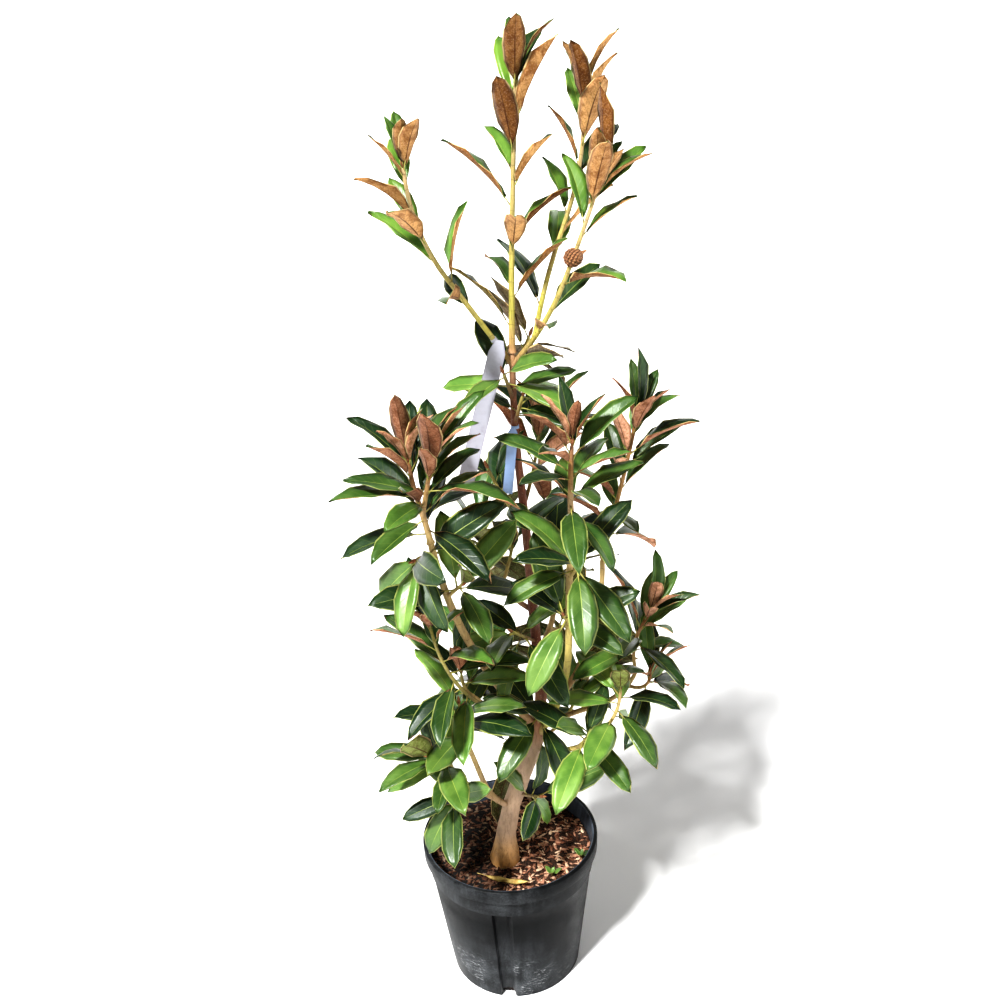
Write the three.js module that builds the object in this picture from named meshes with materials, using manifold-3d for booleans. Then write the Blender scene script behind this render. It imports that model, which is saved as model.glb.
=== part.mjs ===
// A young magnolia in a round nursery pot, in millimetres, +Z up.
// The origin is the centre of the pot's flat underside.
// Bearings are degrees from +X towards +Y, so the front of the plant is at -90.

import * as THREE from "three";
import { mergeVertices } from "three/addons/utils/BufferGeometryUtils.js";
import Module from "manifold-3d";

const wasm = await Module();
wasm.setup();

// ------------------------------------------------------------ driving dimensions

const GAP = 0.3; // between neighbouring solids

const POT = {
  height: 278,
  baseRadius: 120,
  shoulderRadius: 148.7, // top of the fluted wall
  bandRadius: 150.5,
  bandFrom: 219,
  lipRadius: 151.5, // inner edge of the rim
  rimRadius: 160,
  rimFrom: 253,
  edge: 2.5, // rounding of the rim's top
  wall: 3.2,
  floor: 4,
};
// A flute is a recess of the wall: a steep left side and a sloping right one, in degrees
// from the flute's own bearing.
const FLUTE = { count: 4, bearing: -99.6, depth: 8, edges: [-6.5, -5.7, 3.5, 7.5] };
const PLAIN_STEPS = 5; // of the wall between two flutes
const DRAIN = { width: 25, height: 17, from: 101, to: 136 };
const SOIL = { level: 245, clearRadius: 50, roughness: 4, rings: [0.86, 0.66, 0.44, 0.22], seed: 5 };

const CROWN_TOP = 1664; // no leaf reaches over it
const FOOT_HEIGHT = SOIL.level + GAP;
const TRUNK = {
  start: [-12, -32, FOOT_HEIGHT],
  length: 950,
  azimuth: [25, 13, 144, 159, -175, 6],
  rise: [88, 64, 86, 88, 86, 87],
};
// Radius along the trunk: root flare, bole, the drop at the main fork, then the leader.
const TRUNK_RADII = [
  [0, 27], [0.02, 24.5], [0.05, 18.5], [0.12, 15.8], [0.28, 14.6],
  [0.33, 10.6], [0.47, 8.7], [0.62, 7.6], [0.92, 5.4], [1, 5],
];
const ROOT_LOBES = { count: 5, swell: 0.12, until: 0.06 };

// Each bough leaves its parent at a share of the parent's length, and swings through
// the listed bearings and rises from its foot to its tip.
const BOUGHS = {
  bough_low_left: {
    on: ["trunk", 0.12], length: 200, radii: [5.5, 4.2],
    azimuth: [-144, -149, -153], rise: [36, 74, 74],
  },
  bough_low_front: {
    on: ["bough_low_left", 0.2], length: 115, radii: [4.6, 3.8],
    azimuth: [-142, -144, -146], rise: [45, 47, 53],
  },
  bough_left_front: {
    on: ["trunk", 0.29], length: 465, radii: [7.4, 5.4],
    azimuth: [-147, -141, -144], rise: [54, 64, 81],
  },
  bough_left_mid: {
    on: ["trunk", 0.25], length: 180, radii: [5.5, 4.4],
    azimuth: [-135, -156, -163], rise: [71, 44, 50],
  },
  bough_right_front: {
    on: ["trunk", 0.27], length: 475, radii: [6.6, 5.2],
    azimuth: [-34, -86, -60], rise: [55, 80, 84],
  },
  bough_right_low: {
    on: ["trunk", 0.25], length: 150, radii: [4.8, 4.0],
    azimuth: [-27, -25, -14], rise: [-2, 25, 56],
  },
  bough_right_mid: {
    on: ["trunk", 0.29], length: 210, radii: [5.2, 3.8],
    azimuth: [18, 5, -7], rise: [15, 11, 69],
  },
  bough_right_back: {
    on: ["trunk", 0.31], length: 325, radii: [6.2, 4.4],
    azimuth: [39, 34, 55], rise: [15, 64, 92],
  },
  bough_back_left: {
    on: ["trunk", 0.53], length: 130, radii: [4.6, 3.8],
    azimuth: [129, 129, 125], rise: [5, 13, 45],
  },
  bough_back: {
    on: ["trunk", 0.44], length: 150, radii: [5.6, 4.6],
    azimuth: [71, 72, 76], rise: [3, 6, 37],
  },
  bough_back_low: {
    on: ["trunk", 0.3], length: 155, radii: [5.2, 4.2],
    azimuth: [108, 125, 129], rise: [-16, -10, 23],
  },
};

// A shoot is the stem of one mass of leaves. Its leaves begin a share along it, and open
// from the first angle near its foot to the second near its tip. Crowding draws them to
// the tip. The seed fixes where they turn.
const SHOOTS = {
  top: {
    on: ["trunk", 1], length: 410, radii: [5.0, 3.0],
    azimuth: [28, 38, 0], rise: [88, 85, 85],
    leafyFrom: 0.04, opening: [55, 18], leaves: 14, crowding: 1.3, seed: 1728,
  },
  top_left: {
    on: ["trunk", 0.98], length: 345, radii: [4.4, 2.8],
    azimuth: [-160, -155, 10], rise: [57, 55, 92],
    leafyFrom: 0.28, opening: [55, 16], leaves: 10, crowding: 1.2, seed: 6753,
  },
  top_right: {
    on: ["trunk", 0.98], length: 300, radii: [4.6, 2.8],
    azimuth: [-12, -26, 3], rise: [46, 66, 70],
    leafyFrom: 0.2, opening: [55, 16], leaves: 11, crowding: 1.2, seed: 6929,
  },
  top_right_b: {
    on: ["top_right", 0.19], length: 340, radii: [4.0, 2.8],
    azimuth: [51, 22, 66], rise: [70, 65, 87],
    leafyFrom: 0.12, opening: [50, 16], leaves: 13, crowding: 1.2, seed: 9407,
  },
  neck_right: {
    on: ["trunk", 0.97], length: 65, radii: [3.4, 2.6],
    azimuth: [55, 45], rise: [30, 55],
    leafyFrom: 0.3, opening: [95, 70], leaves: 6, seed: 6806,
  },
  neck_left: {
    on: ["trunk", 0.92], length: 60, radii: [3.4, 2.6],
    azimuth: [-115, -120], rise: [60, 60],
    leafyFrom: 0.3, opening: [110, 70], leaves: 6, seed: 2008,
  },
  neck_front: {
    on: ["trunk", 0.88], length: 65, radii: [3.4, 2.6],
    azimuth: [-70, -65], rise: [55, 60],
    leafyFrom: 0.3, opening: [110, 60], leaves: 6, seed: 9133,
  },
  left: {
    on: ["bough_left_front", 1], length: 140, radii: [5.2, 3.2],
    azimuth: [-135, -145, 140], rise: [80, 75, 85],
    leafyFrom: 0.06, opening: [100, 16], leaves: 15, seed: 773,
  },
  left_b: {
    on: ["left", 0.36], length: 105, radii: [4, 3],
    azimuth: [-65, -5], rise: [65, 75],
    leafyFrom: 0.2, opening: [80, 16], leaves: 12, seed: 614,
  },
  left_inner: {
    on: ["bough_left_front", 0.78], length: 45, radii: [3.4, 2.6],
    azimuth: [-45, -40], rise: [45, 40],
    leafyFrom: 0.5, opening: [90, 45], leaves: 6, seed: 7551,
  },
  left_outer: {
    on: ["bough_left_front", 0.94], length: 45, radii: [3.4, 2.6],
    azimuth: [-130, -130], rise: [40, 0],
    leafyFrom: 0.5, opening: [90, 45], leaves: 6, seed: 6534,
  },
  left_mid: {
    on: ["bough_left_mid", 1], length: 55, radii: [3.4, 2.6],
    azimuth: [-160, -60], rise: [50, 85],
    leafyFrom: 0.15, opening: [90, 30], leaves: 9, seed: 9589,
  },
  left_low: {
    on: ["bough_left_mid", 0.8], length: 225, radii: [3.4, 2.6],
    azimuth: [-136, -145, -170], rise: [41, 63, 83],
    leafyFrom: 0.45, opening: [90, 20], leaves: 9, seed: 9294,
  },
  low_left: {
    on: ["bough_low_left", 1], length: 80, radii: [3.4, 2.6],
    azimuth: [-120, -140], rise: [80, 85],
    leafyFrom: 0.15, opening: [90, 30], leaves: 9, seed: 5567,
  },
  low_front: {
    on: ["bough_low_front", 1], length: 95, radii: [3.4, 2.6],
    azimuth: [-100, -165], rise: [65, 30],
    leafyFrom: 0.35, opening: [95, 30], leaves: 10, seed: 7138,
  },
  low_front_b: {
    on: ["bough_low_front", 0.76], length: 45, radii: [3.4, 2.6],
    azimuth: [-125, -120], rise: [-5, 15],
    leafyFrom: 0.5, opening: [100, 60], leaves: 5, seed: 2895,
  },
  right: {
    on: ["bough_right_front", 1], length: 125, radii: [5.0, 3.2],
    azimuth: [-100, 5], rise: [80, 85],
    leafyFrom: 0.06, opening: [105, 16], leaves: 15, seed: 4712,
  },
  right_mid: {
    on: ["bough_right_front", 0.78], length: 50, radii: [3.4, 2.6],
    azimuth: [-65, -70], rise: [45, 55],
    leafyFrom: 0.5, opening: [100, 50], leaves: 6, seed: 7297,
  },
  right_front: {
    on: ["bough_right_front", 0.59], length: 55, radii: [3.4, 2.6],
    azimuth: [-105, -105], rise: [40, 45],
    leafyFrom: 0.5, opening: [105, 60], leaves: 5, seed: 4896,
  },
  right_back: {
    on: ["bough_right_back", 1], length: 265, radii: [4.2, 3.0],
    azimuth: [8, -21, -3], rise: [75, 76, 79],
    leafyFrom: 0.1, opening: [95, 16], leaves: 16, seed: 3206,
  },
  right_outer: {
    on: ["bough_right_mid", 1], length: 125, radii: [3.4, 2.6],
    azimuth: [-155, -5], rise: [75, 55],
    leafyFrom: 0.35, opening: [95, 18], leaves: 12, seed: 821,
  },
  right_outer_b: {
    on: ["bough_right_mid", 0.85], length: 65, radii: [3.4, 2.6],
    azimuth: [-30, -15], rise: [-10, 90],
    leafyFrom: 0.5, opening: [95, 30], leaves: 9, seed: 9775,
  },
  right_low: {
    on: ["bough_right_low", 1], length: 90, radii: [3.4, 2.6],
    azimuth: [-15, -75], rise: [50, 90],
    leafyFrom: 0.25, opening: [110, 40], leaves: 9, seed: 8528,
  },
  right_low_b: {
    on: ["bough_right_low", 0.57], length: 60, radii: [3.4, 2.6],
    azimuth: [-65, -65], rise: [45, 55],
    leafyFrom: 0.5, opening: [105, 60], leaves: 6, seed: 1740,
  },
  right_inner: {
    on: ["trunk", 0.27], length: 115, radii: [3.4, 2.6],
    azimuth: [35, 25], rise: [-15, 70],
    leafyFrom: 0.5, opening: [80, 40], leaves: 6, seed: 838,
  },
  basal_right: {
    on: ["trunk", 0.15], length: 55, radii: [3.4, 2.6],
    azimuth: [-45, -35], rise: [10, 20],
    leafyFrom: 0.4, opening: [100, 60], leaves: 5, seed: 9084,
  },
  basal_back: {
    on: ["trunk", 0.2], length: 95, radii: [3.4, 2.6],
    azimuth: [110, 115], rise: [-15, 90],
    leafyFrom: 0.4, opening: [100, 45], leaves: 6, seed: 1936,
  },
  fork_front: {
    on: ["trunk", 0.3], length: 75, radii: [3.4, 2.6],
    azimuth: [-90, -95], rise: [45, 50],
    leafyFrom: 0.4, opening: [100, 60], leaves: 5, seed: 1811,
  },
  centre: {
    on: ["trunk", 0.47], length: 85, radii: [3.4, 2.6],
    azimuth: [-125, -130], rise: [35, 40],
    leafyFrom: 0.4, opening: [100, 50], leaves: 6, seed: 7676,
  },
  back_left: {
    on: ["bough_back_left", 1], length: 75, radii: [3.4, 2.6],
    azimuth: [110, 75], rise: [50, 80],
    leafyFrom: 0.2, opening: [90, 30], leaves: 9, seed: 1006,
  },
  back_left_b: {
    on: ["bough_back_left", 0.63], length: 80, radii: [3.4, 2.6],
    azimuth: [65, 45], rise: [35, 70],
    leafyFrom: 0.3, opening: [90, 40], leaves: 6, seed: 55,
  },
  back: {
    on: ["bough_back", 1], length: 95, radii: [3.4, 2.6],
    azimuth: [70, 130], rise: [55, 80],
    leafyFrom: 0.2, opening: [90, 30], leaves: 9, seed: 3308,
  },
  back_b: {
    on: ["bough_back", 0.54], length: 100, radii: [3.4, 2.6],
    azimuth: [65, 55], rise: [-35, 5],
    leafyFrom: 0.4, opening: [90, 40], leaves: 8, seed: 5319,
  },
  back_low: {
    on: ["bough_back_low", 1], length: 70, radii: [3.4, 2.6],
    azimuth: [125, 95], rise: [35, 85],
    leafyFrom: 0.2, opening: [90, 35], leaves: 9, seed: 3096,
  },
  back_low_b: {
    on: ["trunk", 0.37], length: 160, radii: [3.4, 2.6],
    azimuth: [60, 50], rise: [-25, 15],
    leafyFrom: 0.4, opening: [90, 40], leaves: 9, seed: 7171,
  },
  upper_back: {
    on: ["trunk", 0.73], length: 140, radii: [3.4, 2.6],
    azimuth: [70, 65], rise: [25, 65],
    leafyFrom: 0.4, opening: [85, 40], leaves: 8, seed: 4717,
  },
  upper_left: {
    on: ["trunk", 0.69], length: 120, radii: [3.4, 2.6],
    azimuth: [155, -165], rise: [50, 70],
    leafyFrom: 0.4, opening: [90, 40], leaves: 6, seed: 7803,
  },
};
// A side shoot belongs to the mass of the shoot that it grows on.
const SIDE_SHOOTS = ["top_right_b", "left_b"];

const LEAF = {
  length: 120,
  lengthSpread: 50,
  turn: 137.5, // round the stem, from one leaf to the next
  turnSpread: 70,
  openingSpread: 44,
  leastOpening: 12,
  rollSpread: 30,
  jitter: 0.9, // of the place along the stem, in leaves
  thickness: 0.016, // as a share of the length
  camber: 0.055,
  fold: 0.22, // rise of the blade for each unit of distance from its midrib
  tries: 4,
};
// Half-width at shares of the length: end of the stalk, belly and shoulder of the blade.
const LEAF_STATIONS = [[0.14, 0.022], [0.45, 0.148], [0.76, 0.138]];
const LEAF_CLEARANCE = { leaf: 2.6, limb: 1.8 };

const FRUIT = {
  on: ["top_right", 0.64], radius: 13.5, length: 30, beak: 9, bearing: -10, rise: 25,
  reach: 0.04, // along its shoot, kept free of leaves
  room: 17, // and round it
};

// A label is a long strip that hangs down in front of a stem.
const LABELS = {
  label_white: {
    on: ["top_left", 0.15], aside: 9, length: 238, azimuth: [-166, -170, -174], rise: [-73, -73, -74],
    width: 26, thickness: 1.2, standOff: GAP + 0.5, // its stem leans towards it
  },
  label_blue: {
    on: ["trunk", 0.875], aside: -3, length: 108, azimuth: [-143, -158], rise: [-81, -81],
    width: 16, thickness: 1, standOff: GAP,
  },
};

const FINISHES = {
  pot: { color: 0x2a2c30, roughness: 0.5 },
  soil: { color: 0x6a4632, roughness: 0.95 },
  trunk: { color: 0x8d7160, roughness: 0.9 },
  bough: { color: 0xa48a68, roughness: 0.85 },
  leaves: { color: 0x47702f, roughness: 0.45 },
  label_white: { color: 0xe9e8ee, roughness: 0.6 },
  label_blue: { color: 0x8aa2cc, roughness: 0.6 },
};

// ------------------------------------------------------------ numbers and vectors

const UP = new THREE.Vector3(0, 0, 1);
const FRONT = new THREE.Vector3(0, -1, 0);
const { degToRad: radians, lerp: mix, clamp } = THREE.MathUtils;

/** Unit vector with a bearing and a rise in degrees. */
function heading(azimuth, rise) {
  const flat = Math.cos(radians(rise));
  return new THREE.Vector3(
    flat * Math.cos(radians(azimuth)),
    flat * Math.sin(radians(azimuth)),
    Math.sin(radians(rise)),
  );
}

/** Mulberry32: a function that gives a seed's next number in [0, 1). */
function seededNumbers(seed) {
  let state = seed >>> 0;
  return () => {
    state = (state + 0x6d2b79f5) >>> 0;
    let t = state;
    t = Math.imul(t ^ (t >>> 15), t | 1);
    t ^= t + Math.imul(t ^ (t >>> 7), t | 61);
    return ((t ^ (t >>> 14)) >>> 0) / 4294967296;
  };
}

/** Linear value of a table of [share, value] rows. */
function valueAt(table, share) {
  const next = table.findIndex(([at]) => share <= at);
  if (next < 0) return table[table.length - 1][1];
  if (next === 0) return table[0][1];
  const [at0, value0] = table[next - 1];
  const [at1, value1] = table[next];
  return mix(value0, value1, (share - at0) / (at1 - at0));
}

/** Whole numbers from 0 to count - 1. */
function range(count) {
  return Array.from({ length: count }, (_, i) => i);
}

/** The part of a vector that is square to the unit vector `axis`. */
function squareTo(axis, vector) {
  return vector.clone().addScaledVector(axis, -vector.dot(axis));
}

// ------------------------------------------------------------ solids

/** A manifold solid from a closed three.js geometry. */
function solidOf(geometry) {
  const bare = new THREE.BufferGeometry();
  bare.setAttribute("position", geometry.attributes.position);
  bare.setIndex(geometry.index);
  const merged = mergeVertices(bare, 1e-4);
  return new wasm.Manifold(
    new wasm.Mesh({
      numProp: 3,
      vertProperties: Float32Array.from(merged.attributes.position.array),
      triVerts: Uint32Array.from(merged.index.array),
    }),
  );
}

/** A three.js geometry from a manifold solid. */
function geometryOf(solid) {
  const { numProp, vertProperties, triVerts } = solid.getMesh();
  const geometry = new THREE.BufferGeometry();
  const positions = range(vertProperties.length / numProp).flatMap((i) => [
    ...vertProperties.subarray(i * numProp, i * numProp + 3),
  ]);
  geometry.setAttribute("position", new THREE.Float32BufferAttribute(positions, 3));
  geometry.setIndex([...triVerts]);
  return geometry;
}

/**
 * A closed skin over rings of equally many points, with a fan at each end.
 * The rings run anticlockwise seen from the end that they grow towards.
 */
function loft(rings, foot, tip) {
  const sides = rings[0].length;
  const points = [foot, ...rings.flat(), tip];
  const last = points.length - 1;
  const top = rings.length - 1;
  const corner = (ring, side) => 1 + ring * sides + (side % sides);
  const triangles = [];
  for (const side of range(sides)) {
    triangles.push(0, corner(0, side + 1), corner(0, side));
    for (const ring of range(top)) {
      const [a, b] = [corner(ring, side), corner(ring, side + 1)];
      const [c, d] = [corner(ring + 1, side), corner(ring + 1, side + 1)];
      triangles.push(a, b, d, a, d, c);
    }
    triangles.push(last, corner(top, side), corner(top, side + 1));
  }
  const geometry = new THREE.BufferGeometry();
  const positions = points.flatMap((point) => point.toArray());
  geometry.setAttribute("position", new THREE.Float32BufferAttribute(positions, 3));
  geometry.setIndex(triangles);
  return geometry;
}

/** The largest body of a solid that a cut may have left in pieces. */
function largestBody(solid) {
  return solid.decompose().reduce((a, b) => (a.volume() >= b.volume() ? a : b));
}

// ------------------------------------------------------------ limbs

const GROWTH_STEPS = 16;

/** The axis of a limb or strip that swings through its headings as it grows. */
class Limb extends THREE.Curve {
  constructor(start, { length, azimuth, rise }, radiusAt) {
    super();
    this.length = length;
    this.radiusAt = radiusAt;
    this.joints = [start];
    this.steps = [];
    const turns = azimuth.map((bearing, i) => heading(bearing, rise[i]));
    for (const i of range(GROWTH_STEPS)) {
      const place = ((i + 0.5) / GROWTH_STEPS) * (turns.length - 1);
      const k = Math.min(Math.floor(place), turns.length - 2);
      const step = turns[k].clone().lerp(turns[k + 1], place - k).normalize();
      this.steps.push(step);
      this.joints.push(this.joints[i].clone().addScaledVector(step, length / GROWTH_STEPS));
    }
  }

  getPoint(share) {
    const place = clamp(share, 0, 1) * GROWTH_STEPS;
    const k = Math.min(Math.floor(place), GROWTH_STEPS - 1);
    return this.joints[k].clone().lerp(this.joints[k + 1], place - k);
  }

  getTangent(share) {
    const place = clamp(share, 0, 1) * GROWTH_STEPS - 0.5;
    const k = clamp(Math.floor(place), 0, GROWTH_STEPS - 2);
    return this.steps[k].clone().lerp(this.steps[k + 1], clamp(place - k, 0, 1)).normalize();
  }
}

/** The trunk, every bough and every shoot by name, each grown from its parent. */
function growLimbs() {
  const trunkRadius = (share) => valueAt(TRUNK_RADII, share);
  const limbs = { trunk: new Limb(new THREE.Vector3(...TRUNK.start), TRUNK, trunkRadius) };
  for (const [name, sizes] of Object.entries({ ...BOUGHS, ...SHOOTS })) {
    const [parent, share] = sizes.on;
    const radiusAt = (along) => mix(...sizes.radii, along);
    limbs[name] = new Limb(limbs[parent].getPoint(share), sizes, radiusAt);
  }
  return limbs;
}

/** How much the root lobes swell the trunk at a share of its length and an angle round it. */
function rootSwell(share, angle) {
  const fade = Math.max(0, 1 - share / ROOT_LOBES.until);
  return 1 + ROOT_LOBES.swell * fade * Math.cos(ROOT_LOBES.count * angle);
}

const EVEN = () => 1;

/** A limb as a solid, `extra` thicker and longer than it is. */
function limbSolid(limb, { shares, sides, swell = EVEN, levelFoot = false }, extra = 0) {
  let side = new THREE.Vector3(1, 0, 0);
  const outwards = extra / Math.cos(Math.PI / sides);
  const centres = shares.map((share) => limb.getPoint(share));
  centres[centres.length - 1].addScaledVector(limb.getTangent(1), extra);
  const rings = shares.map((share, i) => {
    const axis = levelFoot && i === 0 ? UP : limb.getTangent(share);
    side = squareTo(axis, side).normalize();
    const across = axis.clone().cross(side);
    return range(sides).map((k) => {
      const angle = (k / sides) * 2 * Math.PI;
      const radius = limb.radiusAt(share) * swell(share, angle) + outwards;
      const point = centres[i].clone().addScaledVector(side, radius * Math.cos(angle));
      return point.addScaledVector(across, radius * Math.sin(angle));
    });
  });
  return solidOf(loft(rings, centres[0], centres[centres.length - 1]));
}

/** Where a limb's rings stand: one about every `spacing` along it. */
function evenShares(limb, spacing) {
  const count = Math.max(2, Math.round(limb.length / spacing));
  return range(count + 1).map((i) => i / count);
}

/** How finely a limb is drawn. */
function limbShape(name, limb) {
  if (name === "trunk") {
    const shares = [...TRUNK_RADII.map(([share]) => share), ...evenShares(limb, 55)];
    const sorted = shares.sort((a, b) => a - b);
    const spaced = sorted.filter((share, i) => i === 0 || share - sorted[i - 1] > 0.008);
    return { shares: spaced, sides: 10, swell: rootSwell, levelFoot: true };
  }
  if (name in BOUGHS) return { shares: evenShares(limb, 40), sides: 6 };
  return { shares: evenShares(limb, 50), sides: limb.length < 200 ? 3 : 5 };
}

// ------------------------------------------------------------ leaves

const FACING = new THREE.Vector3(0, -1, -0.2); // turns round a stem are counted from here
const FACE_ALONG_STEM = 0.65; // a blade faces along its stem, and a little upwards
const FACE_UP = 0.35;
const FOLDED = { opening: 45, width: 0.74 }; // an upright young leaf is still partly folded

/** Where a leaf stands: its foot on the stem, its own axes, its length and its width. */
function leafStand(stem, { at, turn, opening, length, roll }) {
  const axis = stem.getTangent(at);
  const front = squareTo(axis, FACING).normalize();
  const aside = axis.clone().cross(front);
  const [open, round, tilt] = [opening, turn, roll].map(radians);
  const along = axis.clone().multiplyScalar(Math.cos(open));
  along.addScaledVector(front, Math.sin(open) * Math.cos(round));
  along.addScaledVector(aside, Math.sin(open) * Math.sin(round));
  let face = axis.clone().multiplyScalar(FACE_ALONG_STEM).addScaledVector(UP, FACE_UP);
  face = squareTo(along, face);
  if (face.length() < 0.05) face = squareTo(along, front);
  face.normalize();
  const level = face.clone().cross(along);
  face.multiplyScalar(Math.cos(tilt)).addScaledVector(level, Math.sin(tilt));
  const wide = length * mix(FOLDED.width, 1, Math.min(opening / FOLDED.opening, 1));
  return { foot: stem.getPoint(at), along, face, across: face.clone().cross(along), length, wide };
}

/** A point of the arched blade at a share of its length, a distance across it and a lift off it. */
function bladePoint(stand, share, across, lift = 0) {
  const arch = stand.length * LEAF.camber * 4 * share * (1 - share);
  return stand.foot
    .clone()
    .addScaledVector(stand.along, stand.length * share)
    .addScaledVector(stand.face, arch + Math.abs(across) * LEAF.fold + lift)
    .addScaledVector(stand.across, across);
}

/** The leaf as a solid whose root lies inside its stem. */
function leafSolid({ stand, stemRadius }) {
  const half = (stand.length * LEAF.thickness) / 2;
  const rings = LEAF_STATIONS.map(([share, width]) => [
    bladePoint(stand, share, -width * stand.wide),
    bladePoint(stand, share, 0, -half),
    bladePoint(stand, share, width * stand.wide),
    bladePoint(stand, share, 0, half),
  ]);
  const root = stand.foot.clone().addScaledVector(stand.along, -0.6 * stemRadius);
  return solidOf(loft(rings, root, bladePoint(stand, 1, 0)));
}

/** The sizes of a shoot's leaf by its order, drawn from the shoot's numbers. */
function leafSizes(shoot, order, firstTurn, next) {
  const spread = (width) => width * (next() - 0.5);
  const place = (order + 0.5 + spread(LEAF.jitter)) / shoot.leaves;
  const share = 1 - (1 - place) ** (shoot.crowding ?? 1);
  return {
    at: mix(shoot.leafyFrom, 1, share),
    turn: firstTurn + LEAF.turn * order + spread(LEAF.turnSpread),
    opening: Math.max(LEAF.leastOpening, mix(...shoot.opening, place) + spread(LEAF.openingSpread)),
    length: LEAF.length + spread(LEAF.lengthSpread),
    roll: spread(LEAF.rollSpread),
  };
}

/** Every leaf of every shoot. A leaf has a few tries to find a clear place, and is else left out. */
function growLeaves(limbs, rods) {
  const leaves = [];
  for (const [name, shoot] of Object.entries(SHOOTS)) {
    const next = seededNumbers(shoot.seed);
    const firstTurn = 360 * next();
    for (const order of range(shoot.leaves)) {
      for (let left = LEAF.tries; left > 0; left--) {
        const sizes = leafSizes(shoot, order, firstTurn, next);
        const stand = leafStand(limbs[name], sizes);
        const leaf = { name, stand, stemRadius: limbs[name].radiusAt(sizes.at), ...bladeOf(stand) };
        if (isClear(leaf, leaves, rods)) {
          leaves.push(leaf);
          break;
        }
      }
    }
  }
  return leaves;
}

// ------------------------------------------------------------ clearances

// The blade as flat facets between eight of its points: the stalk's end, three across
// the belly, three across the shoulder, and the tip.
const BLADE_FACETS = [[0, 1, 2], [0, 2, 3], [1, 4, 2], [4, 5, 2], [2, 5, 3], [5, 6, 3], [4, 7, 5], [5, 7, 6]];
const BLADE_EDGES = [
  [0, 1], [0, 2], [0, 3], [1, 2], [2, 3], [1, 4], [2, 5], [3, 6],
  [4, 5], [5, 6], [4, 7], [5, 7], [6, 7], [2, 4], [3, 5],
];

/** A leaf's facets, edges and stalk, with the boxes round its blade and round all of it. */
function bladeOf(stand) {
  const [stalkEnd, ...rows] = LEAF_STATIONS;
  const corners = [bladePoint(stand, stalkEnd[0], 0)];
  for (const [share, width] of rows) {
    corners.push(...[-1, 0, 1].map((side) => bladePoint(stand, share, side * width * stand.wide)));
  }
  corners.push(bladePoint(stand, 1, 0));
  return {
    corners,
    facets: BLADE_FACETS.map((facet) => facet.map((k) => corners[k])),
    edges: BLADE_EDGES.map(([i, k]) => new THREE.Line3(corners[i], corners[k])),
    stalk: new THREE.Line3(stand.foot, corners[0]),
    bladeBox: new THREE.Box3().setFromPoints(corners),
    box: new THREE.Box3().setFromPoints([stand.foot, ...corners]),
  };
}

/** Squared distance between two segments. */
function segmentsApart(one, other) {
  const [d1, d2] = [one.delta(new THREE.Vector3()), other.delta(new THREE.Vector3())];
  const between = one.start.clone().sub(other.start);
  const [a, b, c] = [d1.dot(d1), d1.dot(d2), d1.dot(between)];
  const [e, f] = [d2.dot(d2), d2.dot(between)];
  const det = a * e - b * b;
  let s = det > 1e-9 ? clamp((b * f - c * e) / det, 0, 1) : 0;
  let t = (b * s + f) / e;
  if (t < 0) s = clamp(-c / a, 0, 1);
  if (t > 1) s = clamp((b - c) / a, 0, 1);
  t = clamp(t, 0, 1);
  const nearest = other.start.clone().addScaledVector(d2, t);
  return one.start.clone().addScaledVector(d1, s).distanceToSquared(nearest);
}

/** Squared distance between a segment and a triangle. */
function segmentToFacet(segment, [a, b, c]) {
  const ab = b.clone().sub(a);
  const ac = c.clone().sub(a);
  const normal = ab.clone().cross(ac);
  const size = normal.lengthSq();
  const covers = (point) => {
    const w = point.clone().sub(a);
    const u = w.clone().cross(ac).dot(normal) / size;
    const v = ab.clone().cross(w).dot(normal) / size;
    return u >= 0 && v >= 0 && u + v <= 1;
  };
  const ends = [segment.start, segment.end];
  const [h0, h1] = ends.map((end) => end.clone().sub(a).dot(normal));
  if (h0 * h1 < 0 && covers(segment.at(h0 / (h0 - h1), new THREE.Vector3()))) return 0;
  const apart = [[a, b], [b, c], [c, a]].map(([p, q]) => segmentsApart(segment, new THREE.Line3(p, q)));
  for (const [end, height] of [[ends[0], h0], [ends[1], h1]]) {
    if (covers(end.clone().addScaledVector(normal, -height / size))) apart.push(height ** 2 / size);
  }
  return Math.min(...apart);
}

/** Whether a segment comes within a distance of a blade. */
function segmentNearBlade(segment, leaf, distance) {
  const around = new THREE.Box3().setFromPoints([segment.start, segment.end]).expandByScalar(distance);
  if (!around.intersectsBox(leaf.bladeBox)) return false;
  return leaf.facets.some((facet) => segmentToFacet(segment, facet) < distance * distance);
}

/** Whether two leaves come too near each other. */
function leavesTouch(one, other) {
  if (!one.box.clone().expandByScalar(LEAF_CLEARANCE.leaf).intersectsBox(other.box)) return false;
  return [[one, other], [other, one]].some(([a, b]) =>
    [...a.edges, a.stalk].some((edge) => segmentNearBlade(edge, b, LEAF_CLEARANCE.leaf)),
  );
}

/** A limb's length from one share to another as round-ended rods. */
function rodsAlong(limb, from = 0, to = 1) {
  return range(GROWTH_STEPS).map((i) => {
    const [a, b] = [i, i + 1].map((k) => mix(from, to, k / GROWTH_STEPS));
    const radius = Math.max(limb.radiusAt(a), limb.radiusAt(b));
    return { segment: new THREE.Line3(limb.getPoint(a), limb.getPoint(b)), radius };
  });
}

/** Whether a leaf keeps under the crown's top and off the soil, the pot's rim and the ground. */
function withinSpace({ corners, edges }) {
  const { height, lipRadius, rimRadius } = POT;
  const margin = 8;
  const middles = edges.map((edge) => edge.getCenter(new THREE.Vector3()));
  return [...corners, ...middles].every((point) => {
    const radius = Math.hypot(point.x, point.y);
    if (point.z > CROWN_TOP) return false;
    if (radius > rimRadius + margin) return point.z > margin;
    return point.z > height + margin || (point.z > SOIL.level + margin && radius < lipRadius - margin);
  });
}

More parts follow.
